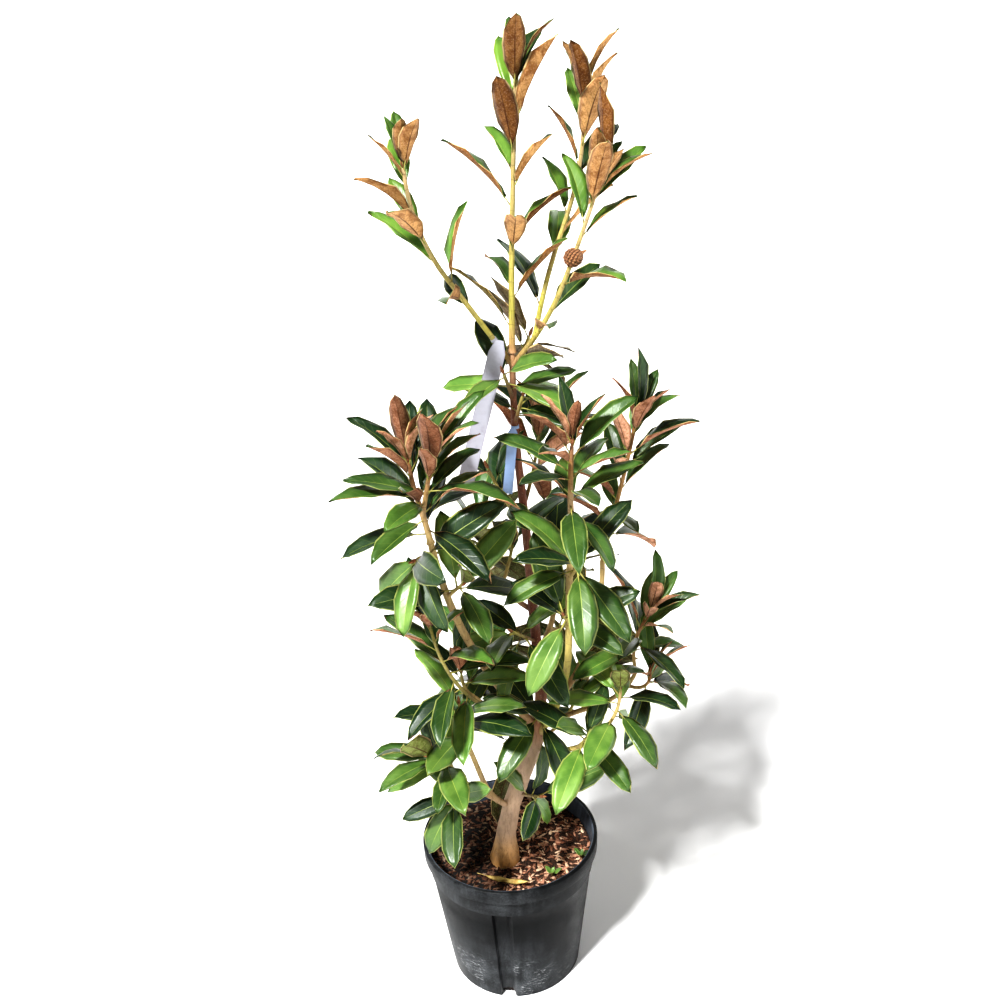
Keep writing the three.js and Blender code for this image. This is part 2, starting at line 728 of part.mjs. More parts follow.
/** Whether a leaf is in the plant's space, and clear of the rods and of the leaves before it. */
function isClear(leaf, leaves, rods) {
  if (!withinSpace(leaf)) return false;
  const { limb: margin } = LEAF_CLEARANCE;
  if (rods.some(({ segment, radius }) => segmentNearBlade(segment, leaf, radius + margin))) return false;
  return !leaves.some((other) => leavesTouch(leaf, other));
}

// ------------------------------------------------------------ labels

/** The axis of a strip that hangs in front of its stem. */
function labelAxis(limbs, sizes) {
  const [parent, share] = sizes.on;
  const stem = limbs[parent];
  const offset = stem.radiusAt(share) + sizes.standOff + sizes.thickness / 2;
  const start = stem.getPoint(share).addScaledVector(FRONT, offset);
  start.x += sizes.aside;
  return new Limb(start, sizes, () => sizes.thickness / 2);
}

/** The level direction across a strip at a share of its length. */
function labelAcross(axis, share) {
  return axis.getTangent(share).cross(FRONT).normalize();
}

function labelSolid(axis, { width, thickness }) {
  const shares = evenShares(axis, 30);
  const rings = shares.map((share) => {
    const across = labelAcross(axis, share).multiplyScalar(width / 2);
    const facing = across.clone().cross(axis.getTangent(share)).setLength(thickness / 2);
    return [[-1, -1], [-1, 1], [1, 1], [1, -1]].map(([side, face]) =>
      axis.getPoint(share).addScaledVector(across, side).addScaledVector(facing, face),
    );
  });
  return solidOf(loft(rings, axis.getPoint(0), axis.getPoint(1)));
}

/** A strip's middle and both edges as rods. */
function labelRods(axis, { width }) {
  const reach = 4; // of a rod, which stands for a third of the width
  return [-1, 0, 1].flatMap((side) =>
    rodsAlong(axis).map(({ segment }, i) => {
      const shift = labelAcross(axis, (i + 0.5) / GROWTH_STEPS).multiplyScalar(side * (width / 2 - reach));
      return { segment: new THREE.Line3(segment.start.add(shift), segment.end.add(shift)), radius: reach };
    }),
  );
}

// ------------------------------------------------------------ fruit

/** The seed cone: an egg with a short beak, square to its shoot. */
function fruitSolid(limbs) {
  const [shoot, share] = FRUIT.on;
  const half = FRUIT.length / 2;
  const egg = range(6).map((i) => {
    const angle = ((i + 0.5) / 6) * Math.PI;
    return new THREE.Vector2(FRUIT.radius * Math.sin(angle), -half * Math.cos(angle));
  });
  const profile = [new THREE.Vector2(0, -half), ...egg, new THREE.Vector2(0, half + FRUIT.beak)];
  const geometry = new THREE.LatheGeometry(profile, 10);
  const facing = new THREE.Quaternion().setFromUnitVectors(
    new THREE.Vector3(0, 1, 0),
    heading(FRUIT.bearing, FRUIT.rise),
  );
  geometry.applyQuaternion(facing);
  const { x, y, z } = limbs[shoot].getPoint(share);
  geometry.translate(x, y, z);
  return solidOf(geometry);
}

/** The room round the fruit as rods. */
function fruitRods(limbs) {
  const [shoot, share] = FRUIT.on;
  const near = rodsAlong(limbs[shoot], share - FRUIT.reach, share + FRUIT.reach);
  return near.map(({ segment }) => ({ segment, radius: FRUIT.room }));
}

// ------------------------------------------------------------ pot and soil

/** The wall's angles in degrees, with the recess's depth at each as a share: 0 plain, 1 deepest. */
function fluteProfile(edges) {
  const [leftOut, leftIn, rightIn, rightOut] = edges;
  const pitch = 360 / FLUTE.count;
  const own = [[leftOut, 0], [leftIn, 1], [rightIn, 1], [rightOut, 0]];
  const steps = PLAIN_STEPS + 1;
  const plain = range(PLAIN_STEPS).map((i) => [mix(rightOut, leftOut + pitch, (i + 1) / steps), 0]);
  return range(FLUTE.count).flatMap((k) =>
    [...own, ...plain].map(([angle, recess]) => [FLUTE.bearing + k * pitch + angle, recess]),
  );
}

/** A level ring of the pot or the soil. */
function fluteRing(profile, radius, z, depth = 0) {
  return profile.map(([angle, recess]) => heading(angle, 0).multiplyScalar(radius - depth * recess).setZ(z));
}

const { baseRadius, shoulderRadius, bandRadius, bandFrom, wall } = POT;
/** Radius of the outside at a height, with the flutes left out. */
const wallRadius = (z) => (z < bandFrom ? mix(baseRadius, shoulderRadius, z / bandFrom) : bandRadius);

const OUTSIDE = fluteProfile(FLUTE.edges);
// The inside of a flute is wider on both sides by the wall's thickness.
const wallAngle = THREE.MathUtils.radToDeg(wall / baseRadius);
const [leftOut, leftIn, rightIn, rightOut] = FLUTE.edges;
const INSIDE = fluteProfile([
  leftOut - wallAngle, leftIn - wallAngle, rightIn + wallAngle, rightOut + wallAngle,
]);

/** The rings of the fluted hollow of the pot, or of what fills it, from its floor to just over the band. */
function hollowRings(floor, gap) {
  const radiusAt = (z) => wallRadius(z) - wall - gap;
  return [
    fluteRing(INSIDE, radiusAt(floor), floor, FLUTE.depth),
    fluteRing(INSIDE, radiusAt(bandFrom - wall), bandFrom - wall, FLUTE.depth),
    fluteRing(INSIDE, radiusAt(bandFrom), bandFrom + wall),
  ];
}

const centreAt = (z) => new THREE.Vector3(0, 0, z);

/** The arch that is cut through wall and floor under a flute. */
function drainSolid(bearing) {
  const { width, height, from, to } = DRAIN;
  const half = width / 2;
  const arch = new THREE.Shape();
  arch.moveTo(-half, -1);
  arch.lineTo(half, -1);
  arch.lineTo(half, height - half);
  arch.absarc(0, height - half, half, 0, Math.PI, false);
  const options = { depth: to - from, bevelEnabled: false, curveSegments: 8 };
  const geometry = new THREE.ExtrudeGeometry(arch, options);
  geometry.rotateX(Math.PI / 2);
  geometry.translate(0, to, 0);
  geometry.rotateZ(radians(bearing - 90));
  return solidOf(geometry);
}

function potSolid() {
  const { height, lipRadius, rimRadius, rimFrom, edge, floor } = POT;
  const skirtTop = height - wall;
  const outside = [
    fluteRing(OUTSIDE, baseRadius, 0, FLUTE.depth),
    fluteRing(OUTSIDE, shoulderRadius, bandFrom, FLUTE.depth),
    fluteRing(OUTSIDE, bandRadius, bandFrom),
    fluteRing(OUTSIDE, bandRadius, rimFrom),
    fluteRing(OUTSIDE, lipRadius + wall, skirtTop),
    fluteRing(OUTSIDE, rimRadius - wall, skirtTop),
    fluteRing(OUTSIDE, rimRadius - wall, rimFrom),
    fluteRing(OUTSIDE, rimRadius, rimFrom),
    fluteRing(OUTSIDE, rimRadius, height - edge),
    fluteRing(OUTSIDE, rimRadius - edge, height),
  ];
  const inside = [
    ...hollowRings(floor, 0),
    fluteRing(INSIDE, bandRadius - wall, rimFrom),
    fluteRing(INSIDE, lipRadius, height),
    fluteRing(INSIDE, lipRadius, height + 1),
  ];
  let pot = solidOf(loft(outside, centreAt(0), centreAt(height)));
  pot = pot.subtract(solidOf(loft(inside, centreAt(floor), centreAt(height + 1))));
  for (const k of range(FLUTE.count)) pot = pot.subtract(drainSolid(FLUTE.bearing + (k * 360) / FLUTE.count));
  return pot;
}

/** The potting bark: it fills the pot, and is level only under the trunk's foot. */
function soilSolid() {
  const { level, roughness, clearRadius, rings: shares } = SOIL;
  const gap = GAP + 0.05;
  const floor = POT.floor + gap;
  const next = seededNumbers(SOIL.seed);
  const [footX, footY] = TRUNK.start;
  const roughen = (point) => {
    const dip = roughness * next();
    const nearFoot = Math.hypot(point.x - footX, point.y - footY) < clearRadius;
    return nearFoot ? point : point.setZ(point.z - dip);
  };
  const radius = bandRadius - wall - gap;
  const surface = shares.map((share) => fluteRing(INSIDE, radius * share, level).map(roughen));
  const rings = [...hollowRings(floor, gap), fluteRing(INSIDE, radius, level - roughness), ...surface];
  return solidOf(loft(rings, centreAt(floor), centreAt(level)));
}

// ------------------------------------------------------------ assembly

/** The mass that a shoot belongs to. */
function massOf(name) {
  return SIDE_SHOOTS.includes(name) ? SHOOTS[name].on[0] : name;
}

/** Every limb's solid, cut clear of the limbs before it, and the space that each keeps clear. */
function cutLimbs(limbs) {
  const solids = {};
  const spaces = {};
  for (const [name, limb] of Object.entries(limbs)) {
    const shape = limbShape(name, limb);
    const others = Object.keys(spaces).filter((other) => other !== massOf(name));
    const cut = others.reduce((solid, other) => solid.subtract(spaces[other]), limbSolid(limb, shape));
    solids[name] = largestBody(cut);
    spaces[name] = limbSolid(limb, shape, GAP);
  }
  return { solids, spaces };
}

/** Each mass: its stem and side shoot with their leaves and fruit fused on. */
function fuseMasses(limbs, stems, leaves) {
  const masses = {};
  for (const name of Object.keys(SHOOTS)) {
    const pieces = leaves.filter((leaf) => leaf.name === name).map(leafSolid);
    if (name === FRUIT.on[0]) pieces.push(fruitSolid(limbs));
    if (massOf(name) in masses) pieces.push(masses[massOf(name)]);
    masses[massOf(name)] = pieces.reduce((mass, piece) => mass.add(piece), stems[name]);
  }
  return masses;
}

/** The mesh of one sub-part. */
function meshOf(name, solid, finish) {
  const geometry = geometryOf(solid);
  geometry.computeVertexNormals();
  const material = new THREE.MeshStandardMaterial({ ...finish, metalness: 0, flatShading: true });
  const mesh = new THREE.Mesh(geometry, material);
  mesh.name = name;
  return mesh;
}

function buildPlant() {
  const plant = new THREE.Group();
  plant.name = "magnolia";
  plant.add(meshOf("pot", potSolid(), FINISHES.pot));
  plant.add(meshOf("soil", soilSolid(), FINISHES.soil));

  const limbs = growLimbs();
  const rods = [...Object.values(limbs).flatMap((limb) => rodsAlong(limb)), ...fruitRods(limbs)];
  for (const [name, sizes] of Object.entries(LABELS)) {
    const axis = labelAxis(limbs, sizes);
    plant.add(meshOf(name, labelSolid(axis, sizes), FINISHES[name]));
    rods.push(...labelRods(axis, sizes));
  }

  const { solids, spaces } = cutLimbs(limbs);
  plant.add(meshOf("trunk", solids.trunk, FINISHES.trunk));
  for (const name of Object.keys(BOUGHS)) plant.add(meshOf(name, solids[name], FINISHES.bough));

  const wood = ["trunk", ...Object.keys(BOUGHS)].map((name) => spaces[name]);
  const masses = fuseMasses(limbs, solids, growLeaves(limbs, rods));
  for (const [name, mass] of Object.entries(masses)) {
    const clear = wood.reduce((solid, space) => solid.subtract(space), mass);
    plant.add(meshOf(`foliage_${name}`, largestBody(clear), FINISHES.leaves));
  }
  return plant;
}

export default buildPlant();
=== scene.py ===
"""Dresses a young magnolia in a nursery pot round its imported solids.

Metres, +Z up, the front towards -Y. The growth of the plant is worked out in millimetres
by the rule that its solids were grown by, and is turned into metres where meshes are made.
"""

import logging
import math
from dataclasses import KW_ONLY, dataclass, field
from enum import Enum
from functools import partial
from typing import Callable, Iterable, Sequence

import bmesh
import bpy
import numpy as np
from mathutils import Matrix, Vector, noise


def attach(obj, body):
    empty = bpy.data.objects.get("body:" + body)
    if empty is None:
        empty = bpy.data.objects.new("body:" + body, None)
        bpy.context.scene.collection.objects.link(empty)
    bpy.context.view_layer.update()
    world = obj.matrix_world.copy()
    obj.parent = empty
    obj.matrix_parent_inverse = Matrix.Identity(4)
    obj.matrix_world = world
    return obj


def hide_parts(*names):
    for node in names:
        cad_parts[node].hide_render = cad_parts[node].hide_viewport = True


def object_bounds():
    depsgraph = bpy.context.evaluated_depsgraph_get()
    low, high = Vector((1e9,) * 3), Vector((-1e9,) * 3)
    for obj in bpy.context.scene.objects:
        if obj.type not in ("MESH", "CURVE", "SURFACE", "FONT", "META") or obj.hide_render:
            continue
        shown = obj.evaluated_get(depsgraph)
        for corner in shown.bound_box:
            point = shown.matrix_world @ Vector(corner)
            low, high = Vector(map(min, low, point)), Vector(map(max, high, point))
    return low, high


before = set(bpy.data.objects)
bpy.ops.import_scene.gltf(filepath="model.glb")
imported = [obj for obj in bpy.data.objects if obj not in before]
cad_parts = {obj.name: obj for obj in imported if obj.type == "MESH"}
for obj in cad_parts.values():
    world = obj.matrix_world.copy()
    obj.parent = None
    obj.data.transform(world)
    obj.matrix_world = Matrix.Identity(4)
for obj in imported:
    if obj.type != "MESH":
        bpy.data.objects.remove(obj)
CAD_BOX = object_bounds()

LOG = logging.getLogger("magnolia")
BODY = "root"
MM = 0.001

Array = np.ndarray
Object = bpy.types.Object
Socket = bpy.types.NodeSocket
Pair = tuple[float, float]
Triple = tuple[float, float, float]
Numbers = Callable[[], float]
Colour = tuple[float, float, float, float]


def tint(code: str) -> Colour:
    """A plain base colour in linear light, from the six digits of its display code."""
    shown = [int(code[i : i + 2], 16) / 255 for i in (0, 2, 4)]
    linear = [c / 12.92 if c <= 0.04045 else ((c + 0.055) / 1.055) ** 2.4 for c in shown]
    return (*linear, 1.0)


def mix(a: float | Array, b: float | Array, share: float | Array) -> float | Array:
    """Linear value between a and b."""
    return a * (1 - share) + b * share


def between(low: Colour, high: Colour, share: float) -> Colour:
    """A colour between two base colours."""
    return tuple(float(mix(a, b, share)) for a, b in zip(low, high))


def unit(vector: Array) -> Array:
    """The vector at length one."""
    return vector / np.linalg.norm(vector)


def square_to(axis: Array, vector: Array) -> Array:
    """The part of a vector that is square to a unit axis."""
    return vector - axis * float(vector @ axis)


def swung(start: Array, towards: Array, angle: float) -> Array:
    """A unit vector swung by an angle in radians towards one that is square to it."""
    return start * math.cos(angle) + towards * math.sin(angle)


def turns(count: int) -> list[float]:
    """Angles in radians, evenly round a circle."""
    return [2 * math.pi * k / count for k in range(count)]


def heading(azimuth: float, rise: float) -> Array:
    """Unit vector with a bearing from +X towards +Y and a rise, in degrees."""
    flat = math.cos(math.radians(rise))
    bearing = math.radians(azimuth)
    height = math.sin(math.radians(rise))
    return np.array([flat * math.cos(bearing), flat * math.sin(bearing), height])


def seeded_numbers(seed: int) -> Numbers:
    """Makes the generator that the solids were grown with.

    Args:
        seed: the seed of one mass, or of one spread of small things.

    Returns:
        A function that gives the next number from 0 to 1.
    """
    word = 0xFFFFFFFF
    state = seed & word

    def following() -> float:
        """The next number of this seed."""
        nonlocal state
        state = (state + 0x6D2B79F5) & word
        t = state
        t = ((t ^ (t >> 15)) * (t | 1)) & word
        t ^= (t + ((t ^ (t >> 7)) * (t | 61) & word)) & word
        return ((t ^ (t >> 14)) & word) / 2**32

    return following


UP = np.array([0.0, 0.0, 1.0])
FRONT = np.array([0.0, -1.0, 0.0])
LEVEL_PART = (1.0, 1.0, 0.0)


# ---- node trees


class Nodes:
    """Puts nodes into a shader tree or a geometry tree and joins them."""

    def __init__(self, tree: bpy.types.NodeTree) -> None:
        """Keeps the tree that nodes go into."""
        self.tree = tree

    def feed(self, socket: Socket, value: object) -> None:
        """Joins a socket to another, or sets its value."""
        if isinstance(value, Socket):
            self.tree.links.new(value, socket)
        else:
            socket.default_value = value

    def put(self, kind: str, sockets: dict | None = None, **settings: object) -> bpy.types.Node:
        """Adds one node.

        Args:
            kind: Blender's name of the node.
            sockets: input by name or place, with the value or socket that feeds it.
            settings: properties of the node itself.

        Returns:
            The node.
        """
        node = self.tree.nodes.new(kind)
        for name, value in settings.items():
            setattr(node, name, value)
        for key, value in (sockets or {}).items():
            self.feed(node.inputs[key], value)
        return node

    def math(self, operation: str, *values: object) -> Socket:
        """The result of a sum on one or more numbers."""
        return self.put("ShaderNodeMath", dict(enumerate(values)), operation=operation).outputs[0]

    def times(self, a: object, b: object) -> Socket:
        """The product of two numbers."""
        return self.math("MULTIPLY", a, b)

    def plus(self, a: object, b: object) -> Socket:
        """The sum of two numbers."""
        return self.math("ADD", a, b)

    def scaled(self, value: object, by: object, plus: object) -> Socket:
        """A number scaled, with another added."""
        return self.math("MULTIPLY_ADD", value, by, plus)

    def size_of(self, value: object) -> Socket:
        """A number without its sign."""
        return self.math("ABSOLUTE", value)

    def axis(self, vector: object, place: int) -> Socket:
        """One axis of a vector: 0, 1 or 2."""
        return self.put("ShaderNodeSeparateXYZ", {0: vector}).outputs[place]

    def vector(self, operation: str, *values: object, output: int = 0) -> Socket:
        """The result of a sum on vectors.

        Args:
            operation: which sum.
            values: what it is done on; the second of SCALE is a number.
            output: 0 for the vector, 1 for the number.

        Returns:
            The socket of that output.
        """
        sockets = dict(enumerate(values))
        if operation == "SCALE":
            sockets["Scale"] = sockets.pop(1)
        return self.put("ShaderNodeVectorMath", sockets, operation=operation).outputs[output]

    def ramp(self, value: object, low: float, high: float, to: Pair = (0.0, 1.0)) -> Socket:
        """A number that runs from one end of `to` to the other as value goes from low to high."""
        sockets = {
            "Value": value, "From Min": low, "From Max": high, "To Min": to[0], "To Max": to[1]
        }
        return self.put("ShaderNodeMapRange", sockets, interpolation_type="SMOOTHSTEP").outputs[0]

    def blend(self, share: object, a: object, b: object, way: str = "MIX") -> Socket:
        """A colour between a and b, or their product with way MULTIPLY."""
        node = self.put("ShaderNodeMix", {0: share, 6: a, 7: b}, data_type="RGBA", blend_type=way)
        return node.outputs[2]

    def noise(
        self, place: object, scale: float, detail: float = 3.0, rough: float = 0.55
    ) -> Socket:
        """Cloudy values about a half."""
        sockets = {"Vector": place, "Scale": scale, "Detail": detail, "Roughness": rough}
        return self.put("ShaderNodeTexNoise", sockets).outputs[0]

    def cells(self, place: object, scale: float) -> Socket:
        """Distances in a field of cells."""
        node = self.put("ShaderNodeTexVoronoi", {"Vector": place, "Scale": scale})
        return node.outputs["Distance"]

    def stretched(self, place: object, scale: Triple) -> Socket:
        """Coordinates stretched by a scale on each axis."""
        return self.put("ShaderNodeMapping", {"Vector": place, "Scale": scale}).outputs[0]


class ShaderNodes(Nodes):
    """The nodes of one material, round its surface shader."""

    def __init__(self, material: bpy.types.Material) -> None:
        """Opens the material's own tree."""
        material.use_nodes = True
        super().__init__(material.node_tree)
        self.shader = material.node_tree.nodes["Principled BSDF"]

    def place(self) -> Socket:
        """The point on the piece in metres."""
        return self.put("ShaderNodeTexCoord").outputs["Object"]

    def attribute(self, name: str, output: str = "Fac") -> Socket:
        """A value that the mesh carries."""
        return self.put("ShaderNodeAttribute", attribute_name=name).outputs[output]

    def surface(self, **sockets: object) -> None:
        """Feeds the shader: base_color for Base Color, and so on."""
        for name, value in sockets.items():
            words = name.replace("_", " ").title().replace("Ior", "IOR")
            self.feed(self.shader.inputs[words], value)

    def bump(self, height: Socket, depth: float, strength: float) -> None:
        """Fine relief, depth in metres."""
        sockets = {"Strength": strength, "Distance": depth, "Height": height}
        self.surface(normal=self.put("ShaderNodeBump", sockets).outputs[0])


class GeometryTree(Nodes):
    """A geometry tree with one mesh coming in, named sizes, and one mesh going out."""

    def __init__(self, name: str) -> None:
        """Opens an empty tree with its mesh sockets."""
        super().__init__(bpy.data.node_groups.new(name, "GeometryNodeTree"))
        for way in ("INPUT", "OUTPUT"):
            self.tree.interface.new_socket("Geometry", in_out=way, socket_type="NodeSocketGeometry")
        self.start = self.tree.nodes.new("NodeGroupInput")
        self.end = self.tree.nodes.new("NodeGroupOutput")
        self.values: dict[str, object] = {}

    @property
    def mesh(self) -> Socket:
        """The mesh that comes in."""
        return self.start.outputs[0]

    def size(self, name: str, value: object, kind: str = "Float") -> Socket:
        """Adds a named input, set to a value, and gives its socket inside the tree."""
        made = self.tree.interface.new_socket(name, in_out="INPUT", socket_type=f"NodeSocket{kind}")
        self.values[made.identifier] = value
        return self.start.outputs[name]

    def read(self, name: str, kind: str = "FLOAT") -> Socket:
        """A value that the mesh carries, by name."""
        node = self.put("GeometryNodeInputNamedAttribute", {"Name": name}, data_type=kind)
        return node.outputs[0]

    def keep(self, mesh: object, name: str, value: object, kind: str = "FLOAT") -> Socket:
        """Stores a value on the mesh's points under a name."""
        sockets = {"Geometry": mesh, "Name": name, "Value": value}
        return self.put("GeometryNodeStoreNamedAttribute", sockets, data_type=kind).outputs[0]

    def move(self, mesh: object, **sockets: object) -> Socket:
        """Moves points to a Position or by an Offset."""
        named = {key.title(): value for key, value in sockets.items()}
        return self.put("GeometryNodeSetPosition", {"Geometry": mesh, **named}).outputs[0]

    def random(self, low: object, high: object, seed: int) -> Socket:
        """Draws for each element from a fixed seed.

        Args:
            low: the least number, or the least vector.
            high: the greatest.
            seed: the fixed seed.

        Returns:
            A number where low is a number, or else a vector.
        """
        kind, mark = ("FLOAT", "_001") if isinstance(low, float) else ("FLOAT_VECTOR", "")
        node = self.put("FunctionNodeRandomValue", data_type=kind)
        drawn = {f"Min{mark}": low, f"Max{mark}": high, "Seed": seed}
        for socket in node.inputs:
            if socket.identifier in drawn:
                self.feed(socket, drawn[socket.identifier])
        return next(socket for socket in node.outputs if socket.identifier == f"Value{mark}")

    def own(self, what: str) -> Socket:
        """The Position or the Normal of each point."""
        return self.put(f"GeometryNodeInput{what}").outputs[0]

    def realize(self, mesh: object) -> Socket:
        """Turns instances into faces of their own."""
        return self.put("GeometryNodeRealizeInstances", {"Geometry": mesh}).outputs[0]

    def copies(self, points: object, shape: Object, **sockets: object) -> Socket:
        """Stands a shape on every point.

        Args:
            points: where the copies stand.
            shape: the object that is copied.
            sockets: the copies' rotation and scale.

        Returns:
            The copies, as faces of their own.
        """
        source = self.put("GeometryNodeObjectInfo", {"Object": self.size("Shape", shape, "Object")})
        named = {key.title(): value for key, value in sockets.items()}
        named.update({"Points": points, "Instance": source.outputs["Geometry"]})
        return self.realize(self.put("GeometryNodeInstanceOnPoints", named).outputs[0])

    def finish(
        self,
        mesh: object,
        finishes: dict[str, "Finish"],
        part: object = None,
        crease: object = None,
    ) -> None:
        """Ends the tree: smooth faces, each with its material.

        Args:
            mesh: the finished form.
            finishes: what parts 0, 1 and so on wear, each under the name of its input.
            part: which part a face belongs to, or None where there is one finish.
            crease: which edges stay crisp, or None where none do.
        """
        mesh = self.put("GeometryNodeSetShadeSmooth", {"Geometry": mesh}).outputs[0]
        if crease is not None:
            sharp = {"Geometry": mesh, "Selection": crease, "Shade Smooth": False}
            mesh = self.put("GeometryNodeSetShadeSmooth", sharp, domain="EDGE").outputs[0]
        for number, (name, finish) in enumerate(finishes.items()):
            material = self.size(name, finish.material(), "Material")
            node = self.put("GeometryNodeSetMaterial", {"Geometry": mesh, "Material": material})
            if part is not None:
                near = {"A": part, "B": float(number), "Epsilon": 0.5}
                chosen = self.put("FunctionNodeCompare", near, operation="EQUAL", data_type="FLOAT")
                self.feed(node.inputs["Selection"], chosen.outputs[0])
            mesh = node.outputs[0]
        self.feed(self.end.inputs[0], mesh)

    def grow(self, source: Object, name: str) -> Object:
        """Runs the tree on an object and keeps the result as a plain mesh.

        Args:
            source: the object that the tree starts from; it is removed.
            name: the name of the finished piece.

        Returns:
            The finished piece, at the origin.
        """
        modifier = source.modifiers.new(name, "NODES")
        modifier.node_group = self.tree
        for identifier, value in self.values.items():
            modifier[identifier] = value
        return plain_copy(source, name)


# ---- meshes


def stand(name: str, data: bpy.types.ID) -> Object:
    """A new object in the scene, at the origin."""
    made = bpy.data.objects.new(name, data)
    bpy.context.scene.collection.objects.link(made)
    return made


def mesh_object(name: str, points: Iterable, faces: Iterable = (), edges: Iterable = ()) -> Object:
    """Links an object at the origin from points in metres.

    Args:
        name: the object's name.
        points: its vertices.
        faces: its faces by vertex number.
        edges: its loose edges by vertex number.

    Returns:
        The object.
    """
    mesh = bpy.data.meshes.new(name)
    places = [tuple(map(float, point)) for point in points]
    mesh.from_pydata(places, [tuple(e) for e in edges], [tuple(f) for f in faces])
    mesh.update()
    return stand(name, mesh)


def closed_form(name: str, points: Iterable, faces: Iterable) -> Object:
    """A linked object of a closed mesh whose faces all look outwards."""
    made = mesh_object(name, points, faces)
    work = bmesh.new()
    work.from_mesh(made.data)
    bmesh.ops.recalc_face_normals(work, faces=work.faces)
    work.to_mesh(made.data)
    work.free()
    return made


def plain_copy(source: Object, name: str) -> Object:
    """Turns an object with its modifiers into a plain mesh.

    Args:
        source: the object; it is removed.
        name: the plain object's name.

    Returns:
        The plain object.
    """
    evaluated = source.evaluated_get(bpy.context.evaluated_depsgraph_get())
    made = stand(name, bpy.data.meshes.new_from_object(evaluated))
    remove(source)
    made.name = made.data.name = name
    return made


def remove(spent: Object) -> None:
    """Takes a helper object out of the scene."""
    bpy.data.objects.remove(spent, do_unlink=True)


def carry(made: Object, name: str, values: Sequence) -> None:
    """Stores one value for each vertex.

    Args:
        made: the object whose mesh carries the values.
        name: what the values are called.
        values: a number, vector or colour for each vertex.
    """
    table = np.asarray(values, dtype=np.float32).ravel()
    kinds = {1: ("FLOAT", "value"), 3: ("FLOAT_VECTOR", "vector"), 4: ("FLOAT_COLOR", "color")}
    kind, key = kinds[table.size // len(made.data.vertices)]
    made.data.attributes.new(name, kind, "POINT").data.foreach_set(key, table)


def loft_faces(rings: int, sides: int, closed: bool = False) -> list[tuple[int, ...]]:
    """Faces of a skin over rings of points, with a middle point after the last ring at each end.

    Args:
        rings: how many rings there are.
        sides: points in a ring, anticlockwise seen from the end that the rings run to.
        closed: whether the rings meet end to end, with no middle points.

    Returns:
        The faces; the middle of the first ring is point rings * sides, and of the last, the next.
    """
    faces = []
    for ring in range(rings if closed else rings - 1):
        here, after = ring * sides, (ring + 1) % rings * sides
        for side in range(sides):
            on = (side + 1) % sides
            faces.append((here + side, here + on, after + on, after + side))
    if closed:
        return faces
    last = (rings - 1) * sides
    for side in range(sides):
        on = (side + 1) % sides
        faces.append((rings * sides, on, side))
        faces.append((rings * sides + 1, last + side, last + on))
    return faces


def smooth(made: Object, angle: float | None = None) -> None:
    """Shades faces smooth, with edges sharper than an angle in degrees left crisp."""
    made.data.shade_smooth()
    if angle is not None:
        made.data.set_sharp_from_angle(angle=math.radians(angle))


def settle(made: Object, slot: str, *nodes: str, finish: "Finish | None" = None) -> None:
    """Puts a finished piece on the plant and reports it.

    Args:
        made: the finished piece.
        slot: the record's material slot that it belongs to; not used.
        nodes: the CAD nodes that it stands for.
        finish: what it wears, where no tree has dressed it.
    """
    if finish:
        made.data.materials.append(finish.material())
    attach(made, BODY)
    if nodes:
        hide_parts(*nodes)
    made.data.calc_loop_triangles()
    LOG.info("%s: %d triangles", made.name, len(made.data.loop_triangles))


# ---- growth


class Bark(Enum):
    """The barks that stems wear, foot colour and tip colour."""

    TAN = ("a08462", "c2ab78")
    LIME = ("aaa54a", "c0a67c")
    TWIG = ("8f8350", "a9a05c")
    RUSTY = ("b09868", "93643f")


class Spray(Enum):
    """The kinds of leafy spray: their greens above, olives below, and felts below young leaves;
    some darkened as painted shade.
    """

    GOLDEN = (("17331a", "759a3f"), ("74682f", "a89a54"), ("84582a", "dcae78"))
    FELTED = (("17331a", "6b8f40"), ("74682f", "a89a54"), ("865436", "e6b294"))
    BRIGHT = (("183619", "7b9c4a"), ("66742f", "a3b064"))
    # SHADED: the greens and olives darker than BRIGHT, as painted shade for the shoots at the back
    # of the crown.
    SHADED = (("112a17", "4a6f30"), ("4c5530", "7f8450"))
    # DRY_AND_SHADED: dry hanging leaves, their brown dulled to grey-brown as painted shade.
    DRY_AND_SHADED = (("5c5648", "8a7f66"), ("6a6252", "988a6a"))

    @property
    def felted(self) -> bool:
        """Whether the spray ends in young leaves with felt below."""
        return len(self.value) == 3


@dataclass(frozen=True)
class Bough:
    """A stem: what it grows on, its length, the headings it swings through, its radii and bark."""

    on: tuple[str, float]
    length: float
    azimuth: tuple[float, ...]
    rise: tuple[float, ...]
    _: KW_ONLY
    radii: Pair = (3.4, 2.6)
    bark: Bark = Bark.TAN


@dataclass(frozen=True)
class Shoot(Bough):
    """The stem of one mass of leaves.

    Leaves begin at leafy_from and open from the first angle near its foot to the second near
    its tip. Crowding draws them to the tip, and the seed fixes where they turn.
    """

    leafy_from: float
    opening: Pair
    leaves: int
    seed: int
    _: KW_ONLY
    crowding: float = 1.0
    bark: Bark = Bark.TWIG
    spray: Spray = Spray.BRIGHT


class Trunk:
    """The trunk's sizes: root flare, bole, the drop at the main fork, then the leader."""

    FOOT = 245.3
    START = (-12.0, -32.0, FOOT)
    LENGTH = 950.0
    AZIMUTH = (25, 13, 144, 159, -175, 6)
    RISE = (88, 64, 86, 88, 86, 87)
    RADII = (
        (0, 27), (0.02, 24.5), (0.05, 18.5), (0.12, 15.8), (0.28, 14.6),
        (0.33, 10.6), (0.47, 8.7), (0.62, 7.6), (0.92, 5.4), (1, 5),
    )

    @classmethod
    def radius(cls, share: float) -> float:
        """Radius at a share of the length."""
        return float(np.interp(share, *zip(*cls.RADII)))

    @classmethod
    def limb(cls) -> "Limb":
        """The trunk's axis."""
        return Limb(cls.START, cls.LENGTH, cls.AZIMUTH, cls.RISE, cls.radius)


